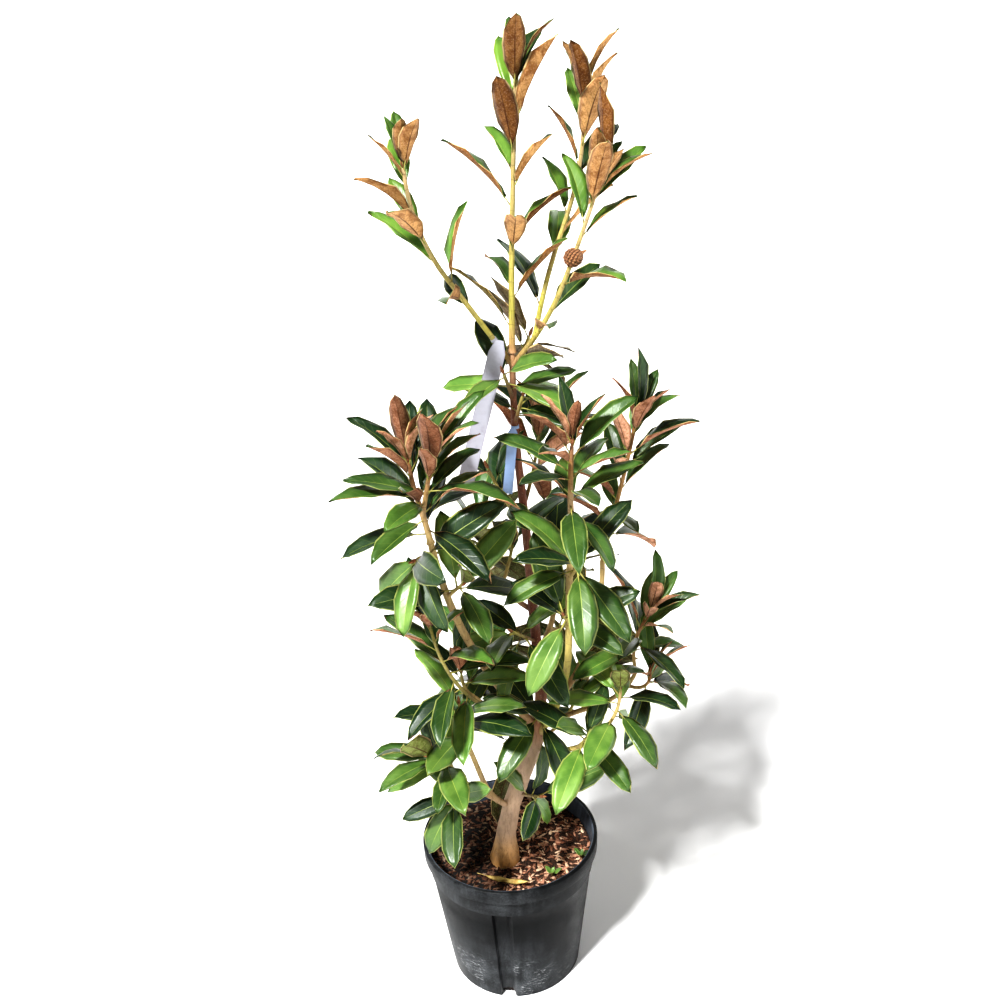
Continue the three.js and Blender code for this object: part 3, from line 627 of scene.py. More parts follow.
BOUGHS = {
    "bough_low_left": Bough(
        ("trunk", 0.12), 200, (-144, -149, -153), (36, 74, 74), radii=(5.5, 4.2)
    ),
    "bough_low_front": Bough(
        ("bough_low_left", 0.2), 115, (-142, -144, -146), (45, 47, 53), radii=(4.6, 3.8)
    ),
    "bough_left_front": Bough(
        ("trunk", 0.29), 465, (-147, -141, -144), (54, 64, 81), radii=(7.4, 5.4)
    ),
    "bough_left_mid": Bough(
        ("trunk", 0.25), 180, (-135, -156, -163), (71, 44, 50), radii=(5.5, 4.4)
    ),
    "bough_right_front": Bough(
        ("trunk", 0.27), 475, (-34, -86, -60), (55, 80, 84), radii=(6.6, 5.2), bark=Bark.LIME
    ),
    "bough_right_low": Bough(
        ("trunk", 0.25), 150, (-27, -25, -14), (-2, 25, 56), radii=(4.8, 4.0), bark=Bark.LIME
    ),
    "bough_right_mid": Bough(("trunk", 0.29), 210, (18, 5, -7), (15, 11, 69), radii=(5.2, 3.8)),
    "bough_right_back": Bough(("trunk", 0.31), 325, (39, 34, 55), (15, 64, 92), radii=(6.2, 4.4)),
    "bough_back_left": Bough(("trunk", 0.53), 130, (129, 129, 125), (5, 13, 45), radii=(4.6, 3.8)),
    "bough_back": Bough(("trunk", 0.44), 150, (71, 72, 76), (3, 6, 37), radii=(5.6, 4.6)),
    "bough_back_low": Bough(("trunk", 0.3), 155, (108, 125, 129), (-16, -10, 23), radii=(5.2, 4.2)),
}

golden = partial(Shoot, crowding=1.2, bark=Bark.LIME, spray=Spray.GOLDEN)
rusty = partial(Shoot, bark=Bark.RUSTY, spray=Spray.FELTED)
shaded = partial(Shoot, spray=Spray.SHADED)

# A row: what it grows on, its length, bearings and rises, then where its leaves begin, how they
# open, how many there are, and its seed.
SHOOTS = {
    "top": golden(
        ("trunk", 1), 410, (28, 38, 0), (88, 85, 85), 0.04, (55, 18), 14, 1728,
        radii=(5.0, 3.0), crowding=1.3,
    ),
    "top_left": golden(
        ("trunk", 0.98), 345, (-160, -155, 10), (57, 55, 92), 0.28, (55, 16), 10, 6753,
        radii=(4.4, 2.8),
    ),
    "top_right": golden(
        ("trunk", 0.98), 300, (-12, -26, 3), (46, 66, 70), 0.2, (55, 16), 11, 6929, radii=(4.6, 2.8)
    ),
    "top_right_b": golden(
        ("top_right", 0.19), 340, (51, 22, 66), (70, 65, 87), 0.12, (50, 16), 13, 9407,
        radii=(4.0, 2.8),
    ),
    "neck_right": Shoot(
        ("trunk", 0.97), 65, (55, 45), (30, 55), 0.3, (95, 70), 6, 6806, spray=Spray.DRY_AND_SHADED
    ),
    "neck_left": Shoot(("trunk", 0.92), 60, (-115, -120), (60, 60), 0.3, (110, 70), 6, 2008),
    "neck_front": Shoot(("trunk", 0.88), 65, (-70, -65), (55, 60), 0.3, (110, 60), 6, 9133),
    "left": rusty(
        ("bough_left_front", 1), 140, (-135, -145, 140), (80, 75, 85), 0.06, (100, 16), 15, 773,
        radii=(5.2, 3.2),
    ),
    "left_b": rusty(("left", 0.36), 105, (-65, -5), (65, 75), 0.2, (80, 16), 12, 614, radii=(4, 3)),
    "left_inner": Shoot(
        ("bough_left_front", 0.78), 45, (-45, -40), (45, 40), 0.5, (90, 45), 6, 7551
    ),
    "left_outer": Shoot(
        ("bough_left_front", 0.94), 45, (-130, -130), (40, 0), 0.5, (90, 45), 6, 6534
    ),
    "left_mid": Shoot(
        ("bough_left_mid", 1), 55, (-160, -60), (50, 85), 0.15, (90, 30), 9, 9589,
        spray=Spray.FELTED,
    ),
    "left_low": Shoot(
        ("bough_left_mid", 0.8), 225, (-136, -145, -170), (41, 63, 83), 0.45, (90, 20), 9, 9294,
        spray=Spray.FELTED,
    ),
    "low_left": Shoot(("bough_low_left", 1), 80, (-120, -140), (80, 85), 0.15, (90, 30), 9, 5567),
    "low_front": Shoot(
        ("bough_low_front", 1), 95, (-100, -165), (65, 30), 0.35, (95, 30), 10, 7138
    ),
    "low_front_b": Shoot(
        ("bough_low_front", 0.76), 45, (-125, -120), (-5, 15), 0.5, (100, 60), 5, 2895
    ),
    "right": rusty(
        ("bough_right_front", 1), 125, (-100, 5), (80, 85), 0.06, (105, 16), 15, 4712,
        radii=(5.0, 3.2),
    ),
    "right_mid": Shoot(
        ("bough_right_front", 0.78), 50, (-65, -70), (45, 55), 0.5, (100, 50), 6, 7297
    ),
    "right_front": Shoot(
        ("bough_right_front", 0.59), 55, (-105, -105), (40, 45), 0.5, (105, 60), 5, 4896
    ),
    "right_back": rusty(
        ("bough_right_back", 1), 265, (8, -21, -3), (75, 76, 79), 0.1, (95, 16), 16, 3206,
        radii=(4.2, 3.0),
    ),
    "right_outer": rusty(
        ("bough_right_mid", 1), 125, (-155, -5), (75, 55), 0.35, (95, 18), 12, 821
    ),
    "right_outer_b": rusty(
        ("bough_right_mid", 0.85), 65, (-30, -15), (-10, 90), 0.5, (95, 30), 9, 9775
    ),
    "right_low": Shoot(
        ("bough_right_low", 1), 90, (-15, -75), (50, 90), 0.25, (110, 40), 9, 8528, bark=Bark.LIME
    ),
    "right_low_b": Shoot(
        ("bough_right_low", 0.57), 60, (-65, -65), (45, 55), 0.5, (105, 60), 6, 1740
    ),
    "right_inner": Shoot(("trunk", 0.27), 115, (35, 25), (-15, 70), 0.5, (80, 40), 6, 838),
    "basal_right": Shoot(("trunk", 0.15), 55, (-45, -35), (10, 20), 0.4, (100, 60), 5, 9084),
    "basal_back": shaded(("trunk", 0.2), 95, (110, 115), (-15, 90), 0.4, (100, 45), 6, 1936),
    "fork_front": Shoot(("trunk", 0.3), 75, (-90, -95), (45, 50), 0.4, (100, 60), 5, 1811),
    "centre": Shoot(("trunk", 0.47), 85, (-125, -130), (35, 40), 0.4, (100, 50), 6, 7676),
    "back_left": shaded(("bough_back_left", 1), 75, (110, 75), (50, 80), 0.2, (90, 30), 9, 1006),
    "back_left_b": shaded(("bough_back_left", 0.63), 80, (65, 45), (35, 70), 0.3, (90, 40), 6, 55),
    "back": shaded(("bough_back", 1), 95, (70, 130), (55, 80), 0.2, (90, 30), 9, 3308),
    "back_b": shaded(("bough_back", 0.54), 100, (65, 55), (-35, 5), 0.4, (90, 40), 8, 5319),
    "back_low": shaded(("bough_back_low", 1), 70, (125, 95), (35, 85), 0.2, (90, 35), 9, 3096),
    "back_low_b": shaded(("trunk", 0.37), 160, (60, 50), (-25, 15), 0.4, (90, 40), 9, 7171),
    "upper_back": Shoot(
        ("trunk", 0.73), 140, (70, 65), (25, 65), 0.4, (85, 40), 8, 4717, spray=Spray.FELTED
    ),
    "upper_left": shaded(("trunk", 0.69), 120, (155, -165), (50, 70), 0.4, (90, 40), 6, 7803),
}
STEMS = {**BOUGHS, **SHOOTS}
SIDE_SHOOTS = ("top_right_b", "left_b")
MASSES = [f"foliage_{name}" for name in SHOOTS if name not in SIDE_SHOOTS]

FRUIT_ON = ("top_right", 0.64)
FRUIT_REACH = 0.04
FRUIT_ROOM = 17.0


@dataclass
class Limb:
    """The axis of a stem or strip: its foot, its length, and the headings it swings through."""

    STEPS = 16

    start: Array
    length: float
    azimuth: Sequence[float]
    rise: Sequence[float]
    radius_at: Callable[[float], float]

    def __post_init__(self) -> None:
        """Grows the axis from its foot, step by step."""
        headings = [heading(*pair) for pair in zip(self.azimuth, self.rise)]
        self.joints = [np.asarray(self.start, dtype=float)]
        self.steps = []
        for i in range(self.STEPS):
            place = (i + 0.5) / self.STEPS * (len(headings) - 1)
            k = min(int(place), len(headings) - 2)
            step = unit(mix(headings[k], headings[k + 1], place - k))
            self.steps.append(step)
            self.joints.append(self.joints[i] + step * (self.length / self.STEPS))

    def point(self, share: float) -> Array:
        """The axis at a share of the length."""
        place = min(max(share, 0.0), 1.0) * self.STEPS
        k = min(int(place), self.STEPS - 1)
        return mix(self.joints[k], self.joints[k + 1], place - k)

    def tangent(self, share: float) -> Array:
        """The axis's direction at a share of the length."""
        place = min(max(share, 0.0), 1.0) * self.STEPS - 0.5
        k = min(max(math.floor(place), 0), self.STEPS - 2)
        return unit(mix(self.steps[k], self.steps[k + 1], min(max(place - k, 0.0), 1.0)))


@dataclass
class Leaf:
    """A leaf's place: its foot on the stem, its axes, its sizes and the corners of its blade."""

    shoot: str
    at: float
    foot: Array
    along: Array
    face: Array
    length: float
    wide: float
    across: Array = field(init=False)
    corners: Array = field(init=False)

    def __post_init__(self) -> None:
        """Works out its crosswise axis, and the eight corners that clearances are measured from."""
        self.across = np.cross(self.face, self.along)
        stalk_end, *rows = LeafRule.STATIONS
        corners = [self.blade_point(stalk_end[0], 0.0)]
        for share, width in rows:
            corners += [self.blade_point(share, side * width * self.wide) for side in (-1, 0, 1)]
        self.corners = np.array([*corners, self.blade_point(1.0, 0.0)])

    def blade_point(self, share: float, across: float) -> Array:
        """A point of the arched blade: how far along as a share, how far off the midrib."""
        arch = self.length * LeafRule.CAMBER * 4 * share * (1 - share)
        lifted = self.face * (arch + abs(across) * LeafRule.FOLD)
        return self.foot + self.along * (self.length * share) + lifted + self.across * across


class LeafRule:
    """How leaves are dealt along a shoot and where one may stand."""

    STATIONS = ((0.14, 0.022), (0.45, 0.148), (0.76, 0.138))
    LENGTH, LENGTH_SPREAD = 120.0, 50.0
    TURN, TURN_SPREAD = 137.5, 70.0
    OPENING_SPREAD, LEAST_OPENING = 44.0, 12.0
    ROLL_SPREAD = 30.0
    JITTER = 0.9
    CAMBER, FOLD = 0.055, 0.22
    TRIES = 4
    TUFT_LEAVES, TUFT_TRIES, TUFT_FROM = 5, 8, 0.93
    TUFT_OPENING = (14.0, 34.0)
    TUFT_LENGTH = (72.0, 104.0)
    FACING = np.array([0.0, -1.0, -0.2])
    FACE_ALONG_STEM, FACE_UP, LEAST_FACE = 0.65, 0.35, 0.05
    FOLDED_OPENING, FOLDED_WIDTH = 45.0, 0.74
    LEAF_APART, LIMB_APART, POT_APART = 2.6, 1.8, 8.0
    CROWN_TOP = 1664.0
    FACETS = np.array(
        [[0, 1, 2], [0, 2, 3], [1, 4, 2], [4, 5, 2], [2, 5, 3], [5, 6, 3], [4, 7, 5], [5, 7, 6]]
    )
    EDGES = np.unique(np.sort(FACETS[:, [[0, 1], [1, 2], [0, 2]]].reshape(-1, 2)), axis=0)

    @classmethod
    def stand(
        cls,
        name: str,
        stem: Limb,
        at: float,
        turn: float,
        opening: float,
        length: float,
        roll: float,
    ) -> Leaf:
        """Stands one leaf on its stem.

        Args:
            name: its shoot.
            stem: the shoot's axis.
            at: its share along the stem.
            turn: its angle round the stem.
            opening: its angle off the stem.
            length: its length with its stalk.
            roll: its tilt about its own length.

        Returns:
            The leaf.
        """
        axis = stem.tangent(at)
        front = unit(square_to(axis, cls.FACING))
        aside = np.cross(axis, front)
        opened, round_stem, tilt = (math.radians(angle) for angle in (opening, turn, roll))
        along = swung(axis, swung(front, aside, round_stem), opened)
        face = square_to(along, axis * cls.FACE_ALONG_STEM + UP * cls.FACE_UP)
        if np.linalg.norm(face) < cls.LEAST_FACE:
            face = square_to(along, front)
        face = unit(face)
        face = swung(face, np.cross(face, along), tilt)
        wide = length * mix(cls.FOLDED_WIDTH, 1.0, min(opening / cls.FOLDED_OPENING, 1.0))
        return Leaf(name, at, stem.point(at), along, face, length, wide)

    @classmethod
    def drawn(
        cls, name: str, shoot: Shoot, stem: Limb, order: int, first_turn: float, following: Numbers
    ) -> Leaf:
        """Draws the sizes of a shoot's leaf by its order and stands it.

        Args:
            name: the shoot's name.
            shoot: the shoot.
            stem: its axis.
            order: which leaf it is, from the foot.
            first_turn: the turn that the shoot's leaves are counted from.
            following: the shoot's numbers.

        Returns:
            The leaf.
        """

        def spread(width: float) -> float:
            """The next number, centred and at a width."""
            return width * (following() - 0.5)

        place = (order + 0.5 + spread(cls.JITTER)) / shoot.leaves
        share = 1 - (1 - place) ** shoot.crowding
        turn = first_turn + cls.TURN * order + spread(cls.TURN_SPREAD)
        opening = max(cls.LEAST_OPENING, mix(*shoot.opening, place) + spread(cls.OPENING_SPREAD))
        length = cls.LENGTH + spread(cls.LENGTH_SPREAD)
        at = mix(shoot.leafy_from, 1.0, share)
        return cls.stand(name, stem, at, turn, opening, length, spread(cls.ROLL_SPREAD))


def dots(a: Array, b: Array) -> Array:
    """Products of paired vectors."""
    return (a * b).sum(-1)


def segments_apart(p: Array, d1: Array, q: Array, d2: Array) -> Array:
    """Squared distances between paired segments.

    Args:
        p: starts of the first segments.
        d1: their spans.
        q: starts of the second segments.
        d2: their spans.

    Returns:
        One squared distance for each pair.
    """
    a, b, c = dots(d1, d1), dots(d1, d2), dots(d1, p - q)
    e, f = dots(d2, d2), dots(d2, p - q)
    det = a * e - b * b
    apart = det > 1e-9
    s = np.where(apart, np.clip((b * f - c * e) / np.where(apart, det, 1.0), 0, 1), 0.0)
    t = (b * s + f) / e
    s = np.where(t < 0, np.clip(-c / a, 0, 1), s)
    s = np.where(t > 1, np.clip((b - c) / a, 0, 1), s)
    t = np.clip(t, 0, 1)
    gap = p + s[..., None] * d1 - q - t[..., None] * d2
    return dots(gap, gap)


def segments_to_facets(starts: Array, ends: Array, facets: Array) -> Array:
    """Squared distance of every segment to every facet.

    Args:
        starts: the segments' starts.
        ends: the segments' ends.
        facets: triangles, three corners each.

    Returns:
        A table of segments by facets.
    """
    p, q = starts[:, None], ends[:, None]
    a, b, c = facets[None, :, 0], facets[None, :, 1], facets[None, :, 2]
    ab, ac = b - a, c - a
    normal = np.cross(ab, ac)
    size = dots(normal, normal)

    def covers(point: Array) -> Array:
        """Whether the facet lies under each point."""
        w = point - a
        u = dots(np.cross(w, ac), normal) / size
        v = dots(np.cross(ab, w), normal) / size
        return (u >= 0) & (v >= 0) & (u + v <= 1)

    h0, h1 = dots(p - a, normal), dots(q - a, normal)
    through = h0 * h1 < 0
    share = np.where(through, h0 / np.where(through, h0 - h1, 1.0), 0.0)
    crossing = through & covers(p + (q - p) * share[..., None])
    nearest = np.full(h0.shape, np.inf)
    for foot, span in ((a, b - a), (b, c - b), (c, a - c)):
        spans = np.broadcast_to(q - p, (*h0.shape, 3))
        aside = segments_apart(p, spans, foot, np.broadcast_to(span, spans.shape))
        nearest = np.minimum(nearest, aside)
    for end, height in ((p, h0), (q, h1)):
        under = covers(end - normal * (height / size)[..., None])
        nearest = np.minimum(nearest, np.where(under, height**2 / size, np.inf))
    return np.where(crossing, 0.0, nearest)


def reached(leaf: Leaf, starts: Array, ends: Array, reach: Array) -> bool:
    """Whether any segment comes within its own reach of a leaf's blade.

    Args:
        leaf: the leaf.
        starts: the segments' starts.
        ends: the segments' ends.
        reach: how near each may not come.

    Returns:
        True where one comes too near.
    """
    low, high = np.minimum(starts, ends) - reach[:, None], np.maximum(starts, ends) + reach[:, None]
    near = np.all((low <= leaf.corners.max(0)) & (high >= leaf.corners.min(0)), axis=1)
    if not near.any():
        return False
    apart = segments_to_facets(starts[near], ends[near], leaf.corners[LeafRule.FACETS])
    return bool((apart < (reach[near] ** 2)[:, None]).any())


@dataclass
class Rods:
    """Round-ended rods that stand for limbs, labels and fruit where leaves must keep clear."""

    rows: list[tuple[Array, Array, float]] = field(default_factory=list)

    def add(self, start: Array, end: Array, radius: float) -> None:
        """Adds one rod."""
        self.rows.append((start, end, radius))

    def along(
        self, limb: Limb, low: float = 0.0, high: float = 1.0, radius: float | None = None
    ) -> None:
        """Adds a stretch of a limb.

        Args:
            limb: the limb.
            low: where the stretch begins, as a share of the length.
            high: where it ends.
            radius: the rods' radius, or None for the limb's own.
        """
        for i in range(Limb.STEPS):
            a, b = (mix(low, high, k / Limb.STEPS) for k in (i, i + 1))
            own = max(limb.radius_at(a), limb.radius_at(b))
            self.add(limb.point(a), limb.point(b), own if radius is None else radius)

    def touch(self, leaf: Leaf, margin: float) -> bool:
        """Whether any rod comes within a margin of a leaf's blade."""
        starts, ends, radii = (np.array(column) for column in zip(*self.rows))
        return reached(leaf, starts, ends, radii + margin)


class Growth:
    """Every limb, and every leaf of every shoot."""

    def __init__(self) -> None:
        """Grows the limbs; leaves come once what they must clear is known."""
        self.limbs = {"trunk": Trunk.limb()}
        for name, row in STEMS.items():
            parent, share = row.on
            start = self.limbs[parent].point(share)
            radius_at = partial(mix, *row.radii)
            self.limbs[name] = Limb(start, row.length, row.azimuth, row.rise, radius_at)
        self.rods = Rods()
        for limb in self.limbs.values():
            self.rods.along(limb)
        shoot, share = FRUIT_ON
        self.rods.along(self.limbs[shoot], share - FRUIT_REACH, share + FRUIT_REACH, FRUIT_ROOM)
        self.leaves: list[Leaf] = []

    @staticmethod
    def touching(one: Leaf, other: Leaf) -> bool:
        """Whether the edges or the stalk of either leaf come too near the other's blade.

        Args:
            one: a leaf.
            other: another leaf.

        Returns:
            True where they do.
        """
        edges = LeafRule.EDGES
        reach = np.full(len(edges) + 1, LeafRule.LEAF_APART)
        for a, b in ((one, other), (other, one)):
            starts, ends = a.corners[edges[:, 0]], a.corners[edges[:, 1]]
            if reached(b, np.vstack([starts, a.foot]), np.vstack([ends, a.corners[0]]), reach):
                return True
        return False

    def clear(self, leaf: Leaf) -> bool:
        """Whether a leaf is in the plant's space, off the limbs and off the leaves before it.

        Args:
            leaf: the leaf.

        Returns:
            True where it may stand.
        """
        if not Pot.leaves_room(leaf) or self.rods.touch(leaf, LeafRule.LIMB_APART):
            return False
        whole = np.vstack([leaf.corners, leaf.foot])
        low, high = whole.min(0) - LeafRule.LEAF_APART, whole.max(0) + LeafRule.LEAF_APART
        for other in self.leaves:
            there = np.vstack([other.corners, other.foot])
            near = np.all(there.max(0) >= low) and np.all(there.min(0) <= high)
            if near and self.touching(leaf, other):
                return False
        return True

    def grow_leaves(self) -> None:
        """Deals every shoot its leaves. A leaf has a few tries to find a clear place."""
        for name, shoot in SHOOTS.items():
            stem = self.limbs[name]
            following = seeded_numbers(shoot.seed)
            first_turn = 360 * following()
            for order in range(shoot.leaves):
                for _ in range(LeafRule.TRIES):
                    leaf = LeafRule.drawn(name, shoot, stem, order, first_turn, following)
                    if self.clear(leaf):
                        self.leaves.append(leaf)
                        break
        for name, shoot in SHOOTS.items():
            if shoot.spray.felted:
                self.grow_tuft(name, seeded_numbers(shoot.seed + 1))

    def grow_tuft(self, name: str, following: Numbers) -> None:
        """Stands short upright young leaves round a shoot's tip wherever there is room.

        Args:
            name: the shoot.
            following: its numbers.
        """
        rule = LeafRule
        for order in range(rule.TUFT_LEAVES):
            for _ in range(rule.TUFT_TRIES):
                at = mix(rule.TUFT_FROM, 1.0, following())
                turn = rule.TURN * order + rule.TURN_SPREAD * following()
                opening = mix(*rule.TUFT_OPENING, following())
                length = mix(*rule.TUFT_LENGTH, following())
                roll = rule.ROLL_SPREAD * (following() - 0.5)
                leaf = rule.stand(name, self.limbs[name], at, turn, opening, length, roll)
                if self.clear(leaf):
                    self.leaves.append(leaf)
                    break


# ---- finishes


@dataclass(frozen=True)
class Finish:
    """What every finish shares: its name and how its material is made."""

    name: str

    def material(self) -> bpy.types.Material:
        """The finish as a new material."""
        made = bpy.data.materials.new(self.name)
        nodes = ShaderNodes(made)
        self.dress(nodes, nodes.place())
        return made

    def dress(self, nodes: ShaderNodes, place: Socket) -> None:
        """Lays the finish's nodes, with the point on the piece in metres as place."""
        raise NotImplementedError


@dataclass(frozen=True)
class LeafSkin(Finish):
    """What both sides of a leaf share: midrib, side veins and margin on the leaf's own colour."""

    own: str = "leaf_upper"
    rib: Colour = tint("a9b85c")
    margin: Colour = tint("bcc576")
    rib_width: float = 0.04
    rib_share: float = 0.7
    vein_share: float = 0.07
    margin_share: float = 0.8
    veins: float = 9.0
    swept: float = 1.7
    vein_line: Pair = (0.41, 0.5)
    margin_line: Pair = (0.87, 0.94)

    def drawn(self, nodes: ShaderNodes, ground: object) -> tuple[Socket, Socket]:
        """Draws midrib, veins and margin.

        Args:
            nodes: the material's nodes.
            ground: the colour between them.

        Returns:
            The colour, and how high the midrib and veins stand, from 0 to 1.
        """
        side = nodes.size_of(nodes.attribute("blade_side"))
        share = nodes.attribute("blade_share")
        row = nodes.scaled(share, self.veins, nodes.times(side, -self.swept))
        vein = nodes.ramp(nodes.math("PINGPONG", row, 0.5), *self.vein_line)
        half = nodes.ramp(share, 0.2, 1.0, (self.rib_width, self.rib_width * 0.3))
        rib = nodes.ramp(nodes.math("DIVIDE", side, half), 0.4, 1.0, (1.0, 0.0))
        edge = nodes.ramp(side, *self.margin_line)
        colour = nodes.blend(nodes.times(vein, self.vein_share), ground, self.rib)
        colour = nodes.blend(nodes.times(rib, self.rib_share), colour, self.rib)
        colour = nodes.blend(nodes.times(edge, self.margin_share), colour, self.margin)
        return colour, nodes.math("MAXIMUM", rib, nodes.times(vein, 0.4))


@dataclass(frozen=True)
class LeafUpper(LeafSkin):
    """The glossy upper side, with a fine sunken net of veins."""

    patch_scale: float = 24.0
    net_scale: float = 380.0
    deeper: Colour = (0.55, 0.66, 0.62, 1.0)
    relief: float = 0.0005

    def dress(self, nodes: ShaderNodes, place: Socket) -> None:
        """Green by leaf in soft patches, waxy."""
        patch = nodes.noise(place, self.patch_scale)
        net = nodes.cells(place, self.net_scale)
        own = nodes.attribute(self.own, "Color")
        deep = nodes.blend(1.0, own, self.deeper, "MULTIPLY")
        colour, height = self.drawn(nodes, nodes.blend(nodes.ramp(patch, 0.36, 0.64), deep, own))
        nodes.surface(base_color=colour, roughness=nodes.ramp(patch, 0.3, 0.7, (0.3, 0.46)))
        nodes.surface(specular_ior_level=0.6)
        sunken = nodes.scaled(height, -1.0, nodes.times(net, -0.25))
        nodes.bump(sunken, self.relief, 0.5)


@dataclass(frozen=True)
class LeafUnder(LeafSkin):
    """The matt underside: mottled felt or dull olive, a raised midrib and a rolled dark edge."""

    own: str = "leaf_under"
    rib: Colour = tint("4f2c16")
    margin: Colour = tint("dcc08a")
    rib_width: float = 0.1
    rib_share: float = 0.8
    vein_share: float = 0.3
    margin_share: float = 0.9
    worn: Colour = (0.52, 0.42, 0.33, 1.0)
    napped: Colour = tint("e8c4a0")
    cloud_scale: float = 70.0
    nap_scale: float = 420.0
    relief: float = 0.0007

    def dress(self, nodes: ShaderNodes, place: Socket) -> None:
        """Felt by leaf, worn in clouds, pale where its nap stands, dark along its rolled edge."""
        cloud = nodes.noise(place, self.cloud_scale, 5, 0.65)
        nap = nodes.noise(place, self.nap_scale, 4, 0.75)
        own = nodes.attribute(self.own, "Color")
        worn = nodes.blend(1.0, own, self.worn, "MULTIPLY")
        felt = nodes.blend(nodes.ramp(cloud, 0.36, 0.58), worn, own)
        felt = nodes.blend(nodes.ramp(nap, 0.36, 0.5, (0.7, 0.0)), felt, worn)
        felt = nodes.blend(nodes.ramp(nap, 0.5, 0.7, (0.0, 0.3)), felt, self.napped)
        side = nodes.size_of(nodes.attribute("blade_side"))
        felt = nodes.blend(nodes.ramp(side, 0.72, 0.86, (0.0, 0.75)), felt, worn)
        colour, height = self.drawn(nodes, felt)
        nodes.surface(base_color=colour, roughness=0.8, specular_ior_level=0.2)
        nodes.surface(sheen_weight=0.08)
        nodes.bump(nodes.scaled(nap, 0.9, height), self.relief, 0.9)


@dataclass(frozen=True)
class Stalk(Finish):
    """The leaf stalk and the rib that it runs into: smooth, yellow-green."""

    young: Colour = tint("a9a65a")
    aged: Colour = tint("826f40")
    patch_scale: float = 38.0
    grain_scale: float = 700.0
    relief: float = 0.0002

    def dress(self, nodes: ShaderNodes, place: Socket) -> None:
        """Yellow-green, going brown in patches."""
        patch = nodes.ramp(nodes.noise(place, self.patch_scale), 0.42, 0.7)
        nodes.surface(base_color=nodes.blend(patch, self.young, self.aged), roughness=0.5)
        nodes.bump(nodes.noise(place, self.grain_scale, 2), self.relief, 0.5)


@dataclass(frozen=True)
class StemBark(Finish):
    """Bark in the stem's own colour: lengthwise cracks, pale pores and narrow leaf scars."""

    pores: float = 0.5
    cracks: float = 0.5
    scars: float = 0.5
    scar_spacing: float = 0.034
    crack_scale: float = 330.0
    pore_scale: float = 210.0
    cloud_scale: float = 30.0
    relief: float = 0.0008
    scar: Colour = tint("4a3526")
    pore: Colour = tint("d8c8a4")
    weather: Colour = tint("8a7a6e")
    darker: Colour = (0.4, 0.34, 0.3, 1.0)

    def dress(self, nodes: ShaderNodes, place: Socket) -> None:
        """Own colour, weathered, cracked, dotted and scarred."""
        own = nodes.attribute("stem_colour", "Color")
        grain = nodes.noise(nodes.stretched(place, (1.0, 1.0, 0.14)), self.crack_scale, 5, 0.65)
        cloud = nodes.noise(place, self.cloud_scale)
        ground = nodes.blend(nodes.ramp(cloud, 0.42, 0.7, (0.0, 0.35)), own, self.weather)
        dark = nodes.blend(1.0, ground, self.darker, "MULTIPLY")
        crack = nodes.ramp(grain, 0.36, 0.5, (1.0, 0.0))
        colour = nodes.blend(nodes.times(crack, self.cracks), ground, dark)
        pores = nodes.cells(nodes.stretched(place, (1.0, 1.0, 1.6)), self.pore_scale)
        dot = nodes.ramp(pores, 0.1, 0.2, (1.0, 0.0))
        colour = nodes.blend(nodes.times(dot, self.pores), colour, self.pore)
        run = nodes.math("DIVIDE", nodes.attribute("stem_run"), self.scar_spacing)
        ring = nodes.ramp(nodes.math("PINGPONG", nodes.plus(run, cloud), 0.5), 0.47, 0.5)
        colour = nodes.blend(nodes.times(ring, self.scars), colour, self.scar)
        nodes.surface(base_color=colour, roughness=nodes.ramp(grain, 0.3, 0.7, (0.55, 0.85)))
        nodes.surface(specular_ior_level=0.3)
        height = nodes.scaled(crack, -1.0, nodes.times(dot, 0.5))
        nodes.bump(nodes.scaled(ring, -0.5, height), self.relief, 0.8)


